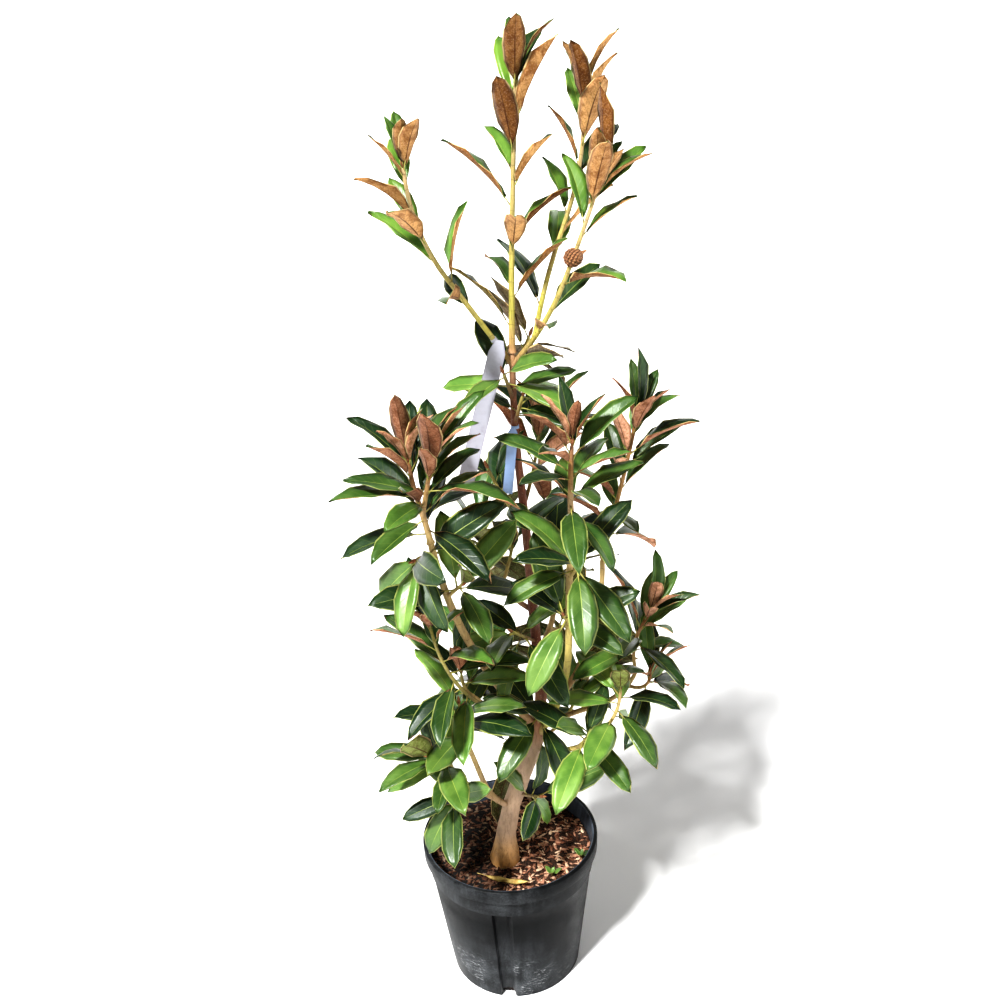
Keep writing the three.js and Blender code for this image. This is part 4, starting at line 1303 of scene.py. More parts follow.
@dataclass(frozen=True)
class PotPlastic(Finish):
    """Black moulded plastic: grainy dust and painted light, fine pale scratches low down, a bluish
    worn inside.
    """

    black: Colour = tint("08090a")
    # Pale grey of dust, also used as painted light on the lit side, the band and the rim.
    dust_and_light: Colour = tint("64676a")
    scuff: Colour = tint("b4b6b8")
    inner: Colour = tint("555c66")
    # Dust and painted light lie on the lit side below this height.
    dust_and_light_below: float = 0.2
    # From this height up, the band and rim take the pale grey as painted light.
    lit_band_from: float = 0.219
    scuffed_below: float = 0.11
    # Bearing of the key light; the side that faces it gets the painted light.
    key_light_side: Triple = (-0.57, -0.82, 0.0)
    cloud_scale: float = 13.0
    smear_scale: float = 16.0
    grain_scale: float = 900.0
    streaks: Triple = (55.0, 55.0, 7.0)
    scratches: Triple = (90.0, 90.0, 520.0)
    relief: float = 0.0004

    def dress(self, nodes: ShaderNodes, place: Socket) -> None:
        """Black, then grainy dust and painted light, scratches, and the weathered inside of the
        rim.
        """
        height = nodes.axis(place, 2)
        flat = nodes.vector("NORMALIZE", nodes.vector("MULTIPLY", place, LEVEL_PART))
        cloud = nodes.noise(place, self.cloud_scale, 5, 0.65)
        streak = nodes.noise(nodes.stretched(place, self.streaks), 1.0, 4, 0.6)
        grain = nodes.noise(place, self.grain_scale, 3, 0.7)
        # Painted light: the pale grey is heaviest low down on the side that faces the key light.
        facing = nodes.vector("DOT_PRODUCT", flat, self.key_light_side, output=1)
        toward_key_light = nodes.ramp(facing, 0.1, 0.9, (0.2, 1.0))
        low = nodes.times(nodes.ramp(height, 0.02, self.dust_and_light_below, (1.0, 0.05)), toward_key_light)
        # Painted light: the band and rim are greyed where they face the key light.
        top = nodes.ramp(height, self.lit_band_from - 0.002, self.lit_band_from, (0.0, 0.6))
        dust_and_light_spread = nodes.math("MAXIMUM", low, nodes.times(top, toward_key_light))
        dust_and_light_share = nodes.times(nodes.ramp(cloud, 0.38, 0.6, (0.3, 1.0)), dust_and_light_spread)
        smear = nodes.ramp(streak, 0.3, 0.7, (0.5, 1.0))
        film = nodes.times(nodes.ramp(grain, 0.4, 0.64, (0.3, 1.0)), smear)
        colour = nodes.blend(nodes.times(dust_and_light_share, film), self.black, self.dust_and_light)
        scratch = nodes.noise(nodes.stretched(place, self.scratches), 1.0, 3, 0.7)
        lowest = nodes.ramp(height, self.scuffed_below * 0.6, self.scuffed_below, (1.0, 0.0))
        rubbed = nodes.times(nodes.ramp(nodes.noise(place, self.smear_scale, 2), 0.5, 0.6), lowest)
        # The scratches are kept to the side that faces the key light, with the painted light.
        where = nodes.times(rubbed, toward_key_light)
        scuffs = nodes.times(nodes.ramp(scratch, 0.55, 0.66), where)
        colour = nodes.blend(nodes.times(scuffs, 0.8), colour, self.scuff)
        normal = nodes.put("ShaderNodeNewGeometry").outputs["Normal"]
        outwards = nodes.vector("DOT_PRODUCT", flat, normal, output=1)
        inside = nodes.math("LESS_THAN", outwards, -0.05)
        worn = nodes.times(inside, nodes.ramp(streak, 0.25, 0.7, (0.3, 0.85)))
        colour = nodes.blend(worn, colour, self.inner)
        nodes.surface(base_color=colour, roughness=nodes.ramp(cloud, 0.3, 0.7, (0.34, 0.52)))
        nodes.surface(specular_ior_level=0.1)
        nodes.bump(nodes.scaled(scuffs, -0.6, nodes.times(grain, 0.5)), self.relief, 0.7)


@dataclass(frozen=True)
class PottingGround(Finish):
    """The fine dark ground between the bark chips, darker towards one side as painted shade."""

    dark: Colour = tint("140e0b")
    brown: Colour = tint("4a3325")
    # Painted shade: darker towards -X, fading out across this span, in patches.
    shade_span: Pair = (-0.055, 0.015)
    shade_scale: float = 14.0
    shade_swing: float = 0.16
    crumb_scale: float = 260.0
    clod_scale: float = 90.0
    relief: float = 0.003

    def painted_shade(self, nodes: ShaderNodes, place: Socket) -> Socket:
        """How much painted shade the ground has: 1 on the shaded side, in patches, 0 on the other.
        """
        across = nodes.axis(place, 0)
        cloud = nodes.noise(place, self.shade_scale, 4)
        patches = nodes.scaled(cloud, self.shade_swing, nodes.plus(across, -self.shade_swing / 2))
        return nodes.ramp(patches, *self.shade_span, (1.0, 0.0))

    def dress(self, nodes: ShaderNodes, place: Socket) -> None:
        """Crumbly dark brown, darker in the painted shade."""
        crumbs = nodes.cells(place, self.crumb_scale)
        # dry is 1 where there is no painted shade.
        dry = nodes.math("SUBTRACT", 1.0, self.painted_shade(nodes, place))
        share = nodes.times(nodes.ramp(crumbs, 0.1, 0.7), dry)
        nodes.surface(base_color=nodes.blend(share, self.dark, self.brown), roughness=0.95)
        nodes.bump(nodes.plus(crumbs, nodes.noise(place, self.clod_scale)), self.relief, 0.9)


@dataclass(frozen=True)
class BarkChip(PottingGround):
    """Shredded bark: reddish brown to straw by the chip, fibrous, under the same painted shade as
    the ground.
    """

    tones: tuple[tuple[float, Colour], ...] = (
        (0.0, tint("2a1b14")), (0.25, tint("7b523e")), (0.6, tint("c3937a")), (1.0, tint("f0d2b4")),
    )
    shade_depth: float = 0.78
    fibres: Triple = (900.0, 240.0, 500.0)
    relief: float = 0.0006

    def dress(self, nodes: ShaderNodes, place: Socket) -> None:
        """The chip's own tone between four browns, darker in the painted shade."""
        tone = nodes.attribute("chip_tone")
        _, darkest = self.tones[0]
        colour = darkest
        for (low, _), (high, tint_there) in zip(self.tones, self.tones[1:]):
            colour = nodes.blend(nodes.ramp(tone, low, high), colour, tint_there)
        # Painted shade: the chips darken towards the shaded side.
        shade_share = nodes.times(self.painted_shade(nodes, place), self.shade_depth)
        fibre = nodes.noise(nodes.stretched(place, self.fibres), 1.0)
        colour = nodes.blend(shade_share, colour, darkest)
        colour = nodes.blend(nodes.ramp(fibre, 0.3, 0.6, (0.4, 0.0)), colour, darkest)
        nodes.surface(base_color=colour, roughness=0.9, specular_ior_level=0.2)
        nodes.bump(fibre, self.relief, 0.8)


@dataclass(frozen=True)
class Plain(Finish):
    """A simple mineral, dry or papery stuff of two near colours, with its own grain."""

    light: Colour
    dark: Colour
    scale: float = 200.0
    roughness: float = 0.8
    relief: float = 0.0004

    def dress(self, nodes: ShaderNodes, place: Socket) -> None:
        """Clouds of two colours and a fine grain."""
        cloud = nodes.noise(place, self.scale, 4)
        colour = nodes.blend(nodes.ramp(cloud, 0.35, 0.65), self.dark, self.light)
        nodes.surface(base_color=colour, roughness=self.roughness)
        nodes.bump(nodes.noise(place, self.scale * 4), self.relief, 0.7)


@dataclass(frozen=True)
class LabelStrip(Finish):
    """A plastic tie-on label: faintly creased across, soiled along its edges."""

    face: Colour
    soiled: Colour
    cloud_scale: float = 55.0
    creases: Triple = (20.0, 20.0, 160.0)
    relief: float = 0.0012

    def dress(self, nodes: ShaderNodes, place: Socket) -> None:
        """Plain, soiled in clouds, with creases."""
        cloud = nodes.noise(place, self.cloud_scale, 4)
        side = nodes.size_of(nodes.attribute("strip_side"))
        worn = nodes.ramp(side, 0.8, 1.0, (0.0, 0.5))
        grime = nodes.math("MAXIMUM", nodes.ramp(cloud, 0.5, 0.75, (0.0, 0.6)), worn)
        crease = nodes.noise(nodes.stretched(place, self.creases), 1.0, 2)
        nodes.surface(base_color=nodes.blend(grime, self.face, self.soiled), roughness=0.42)
        nodes.bump(crease, self.relief, 0.5)


@dataclass(frozen=True)
class ConeScale(Finish):
    """The seed cone's scales: brown, downy, darker at their tips."""

    brown: Colour = tint("85583a")
    dark: Colour = tint("5c3a26")
    pale: Colour = tint("ab8058")
    down_scale: float = 500.0
    relief: float = 0.0004

    def dress(self, nodes: ShaderNodes, place: Socket) -> None:
        """Brown with pale down and dark tips."""
        tip = nodes.attribute("scale_tip")
        down = nodes.noise(place, self.down_scale)
        colour = nodes.blend(nodes.ramp(down, 0.4, 0.65), self.brown, self.pale)
        colour = nodes.blend(nodes.ramp(tip, 0.45, 1.0), colour, self.dark)
        nodes.surface(base_color=colour, roughness=0.75)
        nodes.surface(sheen_weight=0.1)
        nodes.bump(down, self.relief, 0.8)


# ---- pot and ground


@dataclass
class Pot:
    """The round nursery pot: a tapered wall with four flutes, a band and an overhanging rim."""

    HEIGHT = 278.0
    LIP = 151.5
    RIM = 160.0
    LEVEL = 245.0

    base: float = 120.0
    shoulder: float = 148.7
    band: float = 150.5
    band_from: float = 219.0
    rim_from: float = 253.0
    edge: float = 2.5
    foot_edge: float = 1.5
    lip_edge: float = 1.2
    rim_edge: float = 0.6
    seam: float = 0.4
    wall: float = 3.2
    floor: float = 4.0
    flutes: int = 4
    flute_bearing: float = -99.6
    flute_depth: float = 8.0
    flute_edges: tuple[float, ...] = (-6.5, -5.7, 3.5, 7.5)
    step: float = 2.0
    drain_half_width: float = 12.5
    drain_height: float = 17.0
    drain_reach: Pair = (101.0, 136.0)
    rounding: float = 0.7
    rounded_from: float = 40.0
    crisp_from: float = 32.0
    wall_rings: tuple[float, ...] = (50.0, 100.0, 150.0, 190.0)
    finish: Finish = PotPlastic("pot_plastic")

    @classmethod
    def leaves_room(cls, leaf: Leaf) -> bool:
        """Whether a leaf keeps under the crown's top and off the ground, the soil and the rim.

        Args:
            leaf: the leaf.

        Returns:
            True where it does.
        """
        edges, margin = LeafRule.EDGES, LeafRule.POT_APART
        middles = (leaf.corners[edges[:, 0]] + leaf.corners[edges[:, 1]]) / 2
        points = np.vstack([leaf.corners, middles])
        radius = np.hypot(points[:, 0], points[:, 1])
        height = points[:, 2]
        inside = (height > cls.LEVEL + margin) & (radius < cls.LIP - margin)
        over = (height > cls.HEIGHT + margin) | inside
        clear = np.where(radius > cls.RIM + margin, height > margin, over)
        return bool((clear & (height <= LeafRule.CROWN_TOP)).all())

    def angles(self) -> list[float]:
        """The wall's angles in degrees, with every flute's edges among them."""
        pitch = 360 / self.flutes
        bearings = [self.flute_bearing + k * pitch for k in range(self.flutes)]
        sharp = {
            round((bearing + edge) % 360, 3) for bearing in bearings for edge in self.flute_edges
        }
        even = {self.step * i for i in range(round(360 / self.step))}
        return sorted(sharp | {a for a in even if all(abs(a - e) > self.step / 3 for e in sharp)})

    def recess(self, angle: float, widen: float = 0.0) -> float:
        """How deep in a flute an angle lies.

        Args:
            angle: the angle, in degrees.
            widen: how much wider the flute is on each side, in degrees.

        Returns:
            0 on the plain wall, 1 at the flute's bottom.
        """
        pitch = 360 / self.flutes
        own = (angle - self.flute_bearing + pitch / 2) % pitch - pitch / 2
        left_out, left_in, right_in, right_out = self.flute_edges
        edges = (left_out - widen, left_in - widen, right_in + widen, right_out + widen)
        return float(np.interp(own, edges, (0, 1, 1, 0)))

    def ring(
        self, radius: float, height: float, fluted: float = 0.0, inside: bool = False
    ) -> list[Array]:
        """A level ring of the pot.

        Args:
            radius: its radius off the flutes.
            height: its height.
            fluted: what share of their depth the flutes have in it.
            inside: whether it is on the wall's inside, where flutes are wider.

        Returns:
            Its points.
        """
        widen = math.degrees(self.wall / self.base) if inside else 0.0
        depth = self.flute_depth * fluted
        reach = {angle: radius - depth * self.recess(angle, widen) for angle in self.angles()}
        return [heading(angle, 0) * out + UP * height for angle, out in reach.items()]

    def outside(self, height: float) -> float:
        """Radius of the plain wall at a height."""
        return mix(self.base, self.shoulder, height / self.band_from)

    def outline(self) -> list[list[Array]]:
        """The rings from the underside up the outside, over the rim and down to the floor."""
        skirt_top = self.HEIGHT - self.wall
        rows = [(self.base - self.foot_edge, 0, 1), (self.base, self.foot_edge, 1)]
        rows += [(self.outside(z), z, 1) for z in (*self.wall_rings, self.band_from - self.seam)]
        rows += [(self.band, self.band_from, 0), (self.band, self.rim_from, 0)]
        rows += [(self.LIP + self.wall, skirt_top, 0), (self.RIM - self.wall, skirt_top, 0)]
        rows += [(self.RIM - off, self.rim_from, 0) for off in (self.wall, self.rim_edge)]
        for out, _, up in (heading(0, angle) for angle in (0, 30, 60, 90)):
            rows.append((self.RIM - self.edge * (1 - out), self.HEIGHT - self.edge * (1 - up), 0))
        rings = [self.ring(*row) for row in rows]
        edge = self.lip_edge
        inner = [(self.LIP + edge, self.HEIGHT, 0), (self.LIP, self.HEIGHT - edge, 0)]
        low, top = self.band_from + self.wall, self.band_from - self.wall
        inner += [(self.band - self.wall, z, 0) for z in (self.rim_from, low)]
        inner += [(self.outside(z) - self.wall, z, 1) for z in (top, self.floor)]
        return rings + [self.ring(*row, inside=True) for row in inner]

    def drains(self) -> list[Object]:
        """The arches that are cut through wall and floor under each flute."""
        half = self.drain_half_width
        made = []
        crown = [math.radians(angle) for angle in range(0, 181, 15)]
        arch = [(half * math.cos(a), self.drain_height - half + half * math.sin(a)) for a in crown]
        profile = [(-half, -1.0), (half, -1.0), *arch]
        for k in range(self.flutes):
            bearing = self.flute_bearing + k * 360 / self.flutes
            out, aside = heading(bearing, 0), heading(bearing - 90, 0)
            rings = [
                [out * reach + aside * x + UP * z for x, z in profile] for reach in self.drain_reach
            ]
            middles = [out * reach + UP * 2 for reach in self.drain_reach]
            points = [p * MM for p in (*rings[0], *rings[1], *middles)]
            made.append(closed_form(f"drain_{k}", points, loft_faces(2, len(profile))))
        return made

    def build(self) -> None:
        """Builds, cuts, rounds and dresses the pot."""
        rings = self.outline()
        sides = len(rings[0])
        points = [p * MM for ring in rings for p in ring]
        points += [UP * 0.0, UP * self.floor * MM]
        shell = mesh_object("pot_shell", points, loft_faces(len(rings), sides))
        cutters = self.drains()
        for cutter in cutters:
            cut = shell.modifiers.new(cutter.name, "BOOLEAN")
            cut.operation = "DIFFERENCE"
            cut.object = cutter
            cut.solver = "EXACT"
        bevel = shell.modifiers.new("rounding", "BEVEL")
        bevel.width = self.rounding * MM
        bevel.segments = 2
        bevel.limit_method = "ANGLE"
        bevel.angle_limit = math.radians(self.rounded_from)
        made = plain_copy(shell, "pot_body")
        for cutter in cutters:
            remove(cutter)
        smooth(made, self.crisp_from)
        settle(made, "pot", "pot", finish=self.finish)


@dataclass(frozen=True)
class Strewn:
    """A small thing strewn over the ground: its sizes in metres, and how many to a square metre."""

    name: str
    sides: int
    least: Triple
    greatest: Triple
    density: float
    finish: Finish


@dataclass
class Ground:
    """The potting bark: a dark crumbly body, strewn with chips, shreds and a few white grains.

    Humps are clouds by their scale, their layer and their weight in the roughness.
    """

    pot: Pot
    roughness: float = 4.0
    sunk: float = 0.5
    humps: tuple[Triple, ...] = ((0.02, 3.0, 0.38), (0.11, 7.0, 0.3))
    foot_clear: float = 34.0
    foot_cover: float = 0.3
    gap: float = 0.4
    rings: int = 30
    tilt: float = 0.45
    seed: int = 11
    body: Finish = PottingGround("potting_ground")
    chips: Finish = BarkChip("bark_chips")
    grains: Finish = Plain("white_grains", tint("efece4"), tint("b9b2a4"), scale=400.0)

    @property
    def reach(self) -> float:
        """Radius of the ground's top."""
        return self.pot.band - self.pot.wall - self.gap

    def height(self, x: float, y: float) -> float:
        """The ground's height: humps and dips, level round the trunk's foot.

        Args:
            x: how far right.
            y: how far back.

        Returns:
            The height.
        """
        share = self.sunk
        for scale, layer, weight in self.humps:
            share += weight * noise.noise(Vector((x * scale, y * scale, layer)))
        away = math.hypot(x - Trunk.START[0], y - Trunk.START[1])
        dip = self.roughness * min(max(share, 0), 1) * min(away / self.foot_clear, 1)
        return self.pot.LEVEL - dip - self.foot_cover

    def surface(self) -> Object:
        """The top, down its side to the pot's floor."""
        pot = self.pot
        foot = pot.floor + self.gap
        inner = [
            pot.ring(pot.outside(z) - pot.wall - self.gap, z, 1, inside=True)
            for z in (foot, pot.band_from - pot.wall)
        ]
        inner.append(pot.ring(self.reach, pot.band_from + pot.wall, 0, inside=True))
        for k in range(self.rings, 0, -1):
            level = pot.ring(self.reach * k / self.rings, 0)
            inner.append([np.array([*p[:2], self.height(*p[:2])]) for p in level])
        points = [p * MM for ring in inner for p in ring]
        points += [UP * foot * MM, UP * self.height(0, 0) * MM]
        return mesh_object("ground", points, loft_faces(len(inner), len(inner[0])))

    def chip(self, sides: int, following: Numbers) -> Object:
        """A ragged chip about one unit long, wide and thick.

        Args:
            sides: points round it.
            following: the numbers that fray it.

        Returns:
            The chip.
        """
        points = []
        for x, size in ((-0.42, 0.55), (0.0, 1.0), (0.38, 0.7)):
            for angle in turns(sides):
                reach = size * (0.34 + 0.2 * following())
                frayed = x + 0.12 * following()
                points.append((frayed, reach * math.cos(angle), reach * math.sin(angle)))
        points += [(-0.5, 0.05, 0.0), (0.52, -0.04, 0.06)]
        return closed_form("chip", points, loft_faces(3, sides))

    def strew(self, ground: Object, shape: Object, kind: Strewn) -> Object:
        """Strews one kind of small thing over the ground.

        Args:
            ground: the surface that it lies on.
            shape: one of the things, about a unit across.
            kind: its sizes, number and finish.

        Returns:
            The piece.
        """
        tree = GeometryTree(kind.name)
        place = tree.own("Position")
        level = (self.pot.LEVEL - 3 * self.roughness) * MM
        upwards = tree.math("GREATER_THAN", tree.axis(tree.own("Normal"), 2), 0.5)
        top = tree.times(upwards, tree.math("GREATER_THAN", tree.axis(place, 2), level))
        density = tree.size("Density", kind.density)
        sockets = {"Mesh": tree.mesh, "Selection": top, "Density": density}
        sockets["Seed"] = tree.size("Seed", self.seed, "Int")
        scattered = tree.put("GeometryNodeDistributePointsOnFaces", sockets).outputs[0]
        points = tree.keep(scattered, "chip_tone", tree.random(0.0, 1.0, self.seed + 1))
        tilts = ((-self.tilt, -self.tilt, 0.0), (self.tilt, self.tilt, 2 * math.pi))
        angles = tree.random(*tilts, self.seed + 2)
        turned = tree.put("FunctionNodeEulerToRotation", {0: angles}).outputs[0]
        scale = tree.random(kind.least, kind.greatest, self.seed + 3)
        placed = tree.copies(points, shape, rotation=turned, scale=scale)
        limit = tree.size("Wall Radius", self.reach * MM)
        away = tree.vector("LENGTH", tree.vector("MULTIPLY", place, LEVEL_PART), output=1)
        share = tree.math("MINIMUM", tree.math("DIVIDE", limit, away), 1.0)
        drawn_in = tree.put("ShaderNodeCombineXYZ", {0: share, 1: share, 2: 1.0}).outputs[0]
        kept = tree.move(placed, position=tree.vector("MULTIPLY", place, drawn_in))
        tree.finish(kept, {"Surface": kind.finish})
        points = [vertex.co for vertex in ground.data.vertices]
        source = mesh_object("strewn", points, [face.vertices for face in ground.data.polygons])
        return tree.grow(source, kind.name)

    def build(self) -> None:
        """Builds the ground and strews it."""
        ground = self.surface()
        following = seeded_numbers(self.seed)
        kinds = (
            ("bark_chips", 5, (0.006, 0.0035, 0.0018), (0.018, 0.01, 0.0045), 18000.0, self.chips),
            ("bark_shreds", 4, (0.01, 0.0012, 0.001), (0.028, 0.003, 0.002), 16000.0, self.chips),
            ("white_grains", 5, (0.002, 0.003, 0.002), (0.0038, 0.005, 0.0035), 500.0, self.grains),
        )
        for kind in (Strewn(*row) for row in kinds):
            shape = self.chip(kind.sides, following)
            settle(self.strew(ground, shape, kind), "soil")
            remove(shape)
        ground.name = "potting_ground"
        smooth(ground)
        settle(ground, "soil", "soil", finish=self.body)


# ---- wood


@dataclass
class Wood:
    """Trunk, boughs and twigs: round stems with barky relief, collared where they join the parent.

    Knots and fissures are clouds by their scale and the weight that they have in the relief.
    """

    growth: Growth
    spacing: float = 4.0
    collar: float = 0.35
    collar_reach: float = 9.0
    taper: float = 5.0
    into_ground: float = 12.0
    blunt: float = 0.55
    root_relief: float = 1.6
    root_share: float = 0.07
    knots: Pair = (55.0, 2.0)
    fissures: Pair = (420.0, 0.8)
    drawn_out: Triple = (1.0, 1.0, 0.2)
    bud_length: float = 0.017
    bud_plumpness: float = 1.15
    bud_sides: int = 8
    bud_outline: tuple[Pair, ...] = ((0.0, 0.62), (0.22, 1.0), (0.5, 0.86), (0.78, 0.46))
    bud_down: Finish = Plain("bud_down", tint("a7714a"), tint("6b4630"), scale=300.0)
    trunk_bark: Finish = StemBark("trunk_bark", pores=0.35, cracks=0.22, scars=0.0)
    bough_bark: Finish = StemBark("bough_bark", pores=0.35, cracks=0.3)
    twig_bark: Finish = StemBark("twig_bark", pores=0.25, cracks=0.2, scar_spacing=0.021)
    trunk_colours: tuple[tuple[float, str], ...] = (
        (0.0, "cf9f63"), (0.035, "caa377"), (0.07, "c2a68c"), (0.25, "bda592"), (0.31, "a97a60"),
        (0.40, "6b4132"), (0.80, "744c3a"), (0.92, "7c4f3a"), (0.97, "a07a58"), (1.0, "b8906a"),
    )
    foot_blend: float = 60.0

    def colour(self, name: str, share: float) -> Colour:
        """A stem's own colour, which runs over from its parent's at its foot.

        Args:
            name: the stem.
            share: where along its length.

        Returns:
            The colour.
        """
        if name == "trunk":
            shares, codes = zip(*self.trunk_colours)
            channels = zip(*map(tint, codes))
            return tuple(float(np.interp(share, shares, levels)) for levels in channels)
        stem = STEMS[name]
        own = between(*map(tint, stem.bark.value), share)
        young = min(share * stem.length / self.foot_blend, 1.0)
        return own if young == 1 else between(self.colour(*stem.on), own, young)

    def lines(self, names: Sequence[str], relief: float) -> Object:
        """The axes of some stems as a wire that carries each point's radius, colour and relief.

        Args:
            names: the stems.
            relief: depth of their bark's relief, in millimetres.

        Returns:
            The wire.
        """
        rows, edges = [], []
        for name in names:
            limb = self.growth.limbs[name]
            count = max(4, round(limb.length / self.spacing))
            for i in range(count + 1):
                share = i / count
                run = share * limb.length
                if i:
                    edges.append((len(rows) - 1, len(rows)))
                if name == "trunk":
                    swell = 1.0
                    depth = relief * (1 + self.root_relief * max(0.0, 1 - share / self.root_share))
                else:
                    swell = 1 + self.collar * max(0.0, 1 - run / self.collar_reach) ** 2
                    depth = relief
                end = min(1.0, mix(self.blunt, 1.0, (limb.length - run) / self.taper))
                point = limb.point(share)
                if name == "trunk" and i == 0:
                    point = point - UP * self.into_ground
                radius = limb.radius_at(share) * swell * end
                colour = self.colour(name, share)
                rows.append((point * MM, radius * MM, colour, depth * MM, run * MM))
        points, *carried = zip(*rows)
        wire = mesh_object("wire", points, edges=edges)
        for what, values in zip(("radius", "colour", "relief", "run"), carried):
            carry(wire, f"stem_{what}", values)
        return wire

    def stems(
        self, name: str, names: Sequence[str], relief: float, sides: int, finish: Finish
    ) -> Object:
        """Grows the skin of some stems along their axes.

        Args:
            name: the finished piece.
            names: the stems in it.
            relief: depth of the bark's relief, in millimetres.
            sides: points round a stem.
            finish: the bark.

        Returns:
            The piece.
        """
        tree = GeometryTree(name)
        round_stem = {"Resolution": tree.size("Sides", sides, "Int"), "Radius": 1.0}
        circle = tree.put("GeometryNodeCurvePrimitiveCircle", round_stem).outputs[0]
        curve = tree.put("GeometryNodeMeshToCurve", {"Mesh": tree.mesh}).outputs[0]
        sockets = {"Curve": curve, "Profile Curve": circle, "Fill Caps": True}
        sockets["Scale"] = tree.read("stem_radius")
        skin = tree.put("GeometryNodeCurveToMesh", sockets).outputs[0]
        place = tree.own("Position")
        drawn_out = tree.vector("MULTIPLY", place, self.drawn_out)
        height = 0.0
        clouds = (("Knot", place, self.knots), ("Fissure", drawn_out, self.fissures))
        for what, at, (scale, weight) in clouds:
            cloud = tree.noise(at, tree.size(f"{what} Scale", scale), 2)
            height = tree.scaled(tree.math("SUBTRACT", cloud, 0.5), weight, height)
        lift = tree.times(height, tree.read("stem_relief"))
        relieved = tree.move(skin, offset=tree.vector("SCALE", tree.own("Normal"), lift))
        tree.finish(tree.realize(relieved), {"Bark": finish})
        return tree.grow(self.lines(names, relief), name)

    def buds(self) -> Object:
        """The pointed bud that closes every shoot."""
        angles = turns(self.bud_sides)
        bud = [(w * math.cos(a), w * math.sin(a), z) for z, w in self.bud_outline for a in angles]
        faces = loft_faces(len(self.bud_outline), self.bud_sides)
        shape = mesh_object("bud", [*bud, (0, 0, -0.1), (0, 0, 1)], faces)
        limbs = [self.growth.limbs[name] for name in SHOOTS]
        tips = mesh_object("tips", [limb.point(1) * MM for limb in limbs])
        carry(tips, "tip_axis", [limb.tangent(1) for limb in limbs])
        carry(tips, "tip_radius", [limb.radius_at(1) * MM for limb in limbs])
        tree = GeometryTree("leaf_buds")
        length = tree.size("Length", self.bud_length)
        plump = tree.size("Plumpness", self.bud_plumpness)
        width = tree.times(tree.read("tip_radius"), plump)
        size = tree.put("ShaderNodeCombineXYZ", {0: width, 1: width, 2: length}).outputs[0]
        upright = {"Vector": tree.read("tip_axis", "FLOAT_VECTOR")}
        turned = tree.put("FunctionNodeAlignRotationToVector", upright, axis="Z").outputs[0]
        placed = tree.copies(tree.mesh, shape, rotation=turned, scale=size)
        tree.finish(placed, {"Down": self.bud_down})
        made = tree.grow(tips, "leaf_buds")
        remove(shape)
        return made

    def build(self) -> None:
        """Builds trunk, boughs, twigs and buds."""
        trunk = self.stems(
            "trunk_and_leader", ["trunk"], relief=0.9, sides=28, finish=self.trunk_bark
        )
        settle(trunk, "trunk_bark", "trunk")
        boughs = self.stems("boughs", list(BOUGHS), relief=0.45, sides=14, finish=self.bough_bark)
        settle(boughs, "bough_bark", *BOUGHS)
        twigs = self.stems("twigs", list(SHOOTS), relief=0.25, sides=10, finish=self.twig_bark)
        settle(twigs, "bough_bark", *MASSES)
        settle(self.buds(), "bough_bark")


# ---- foliage


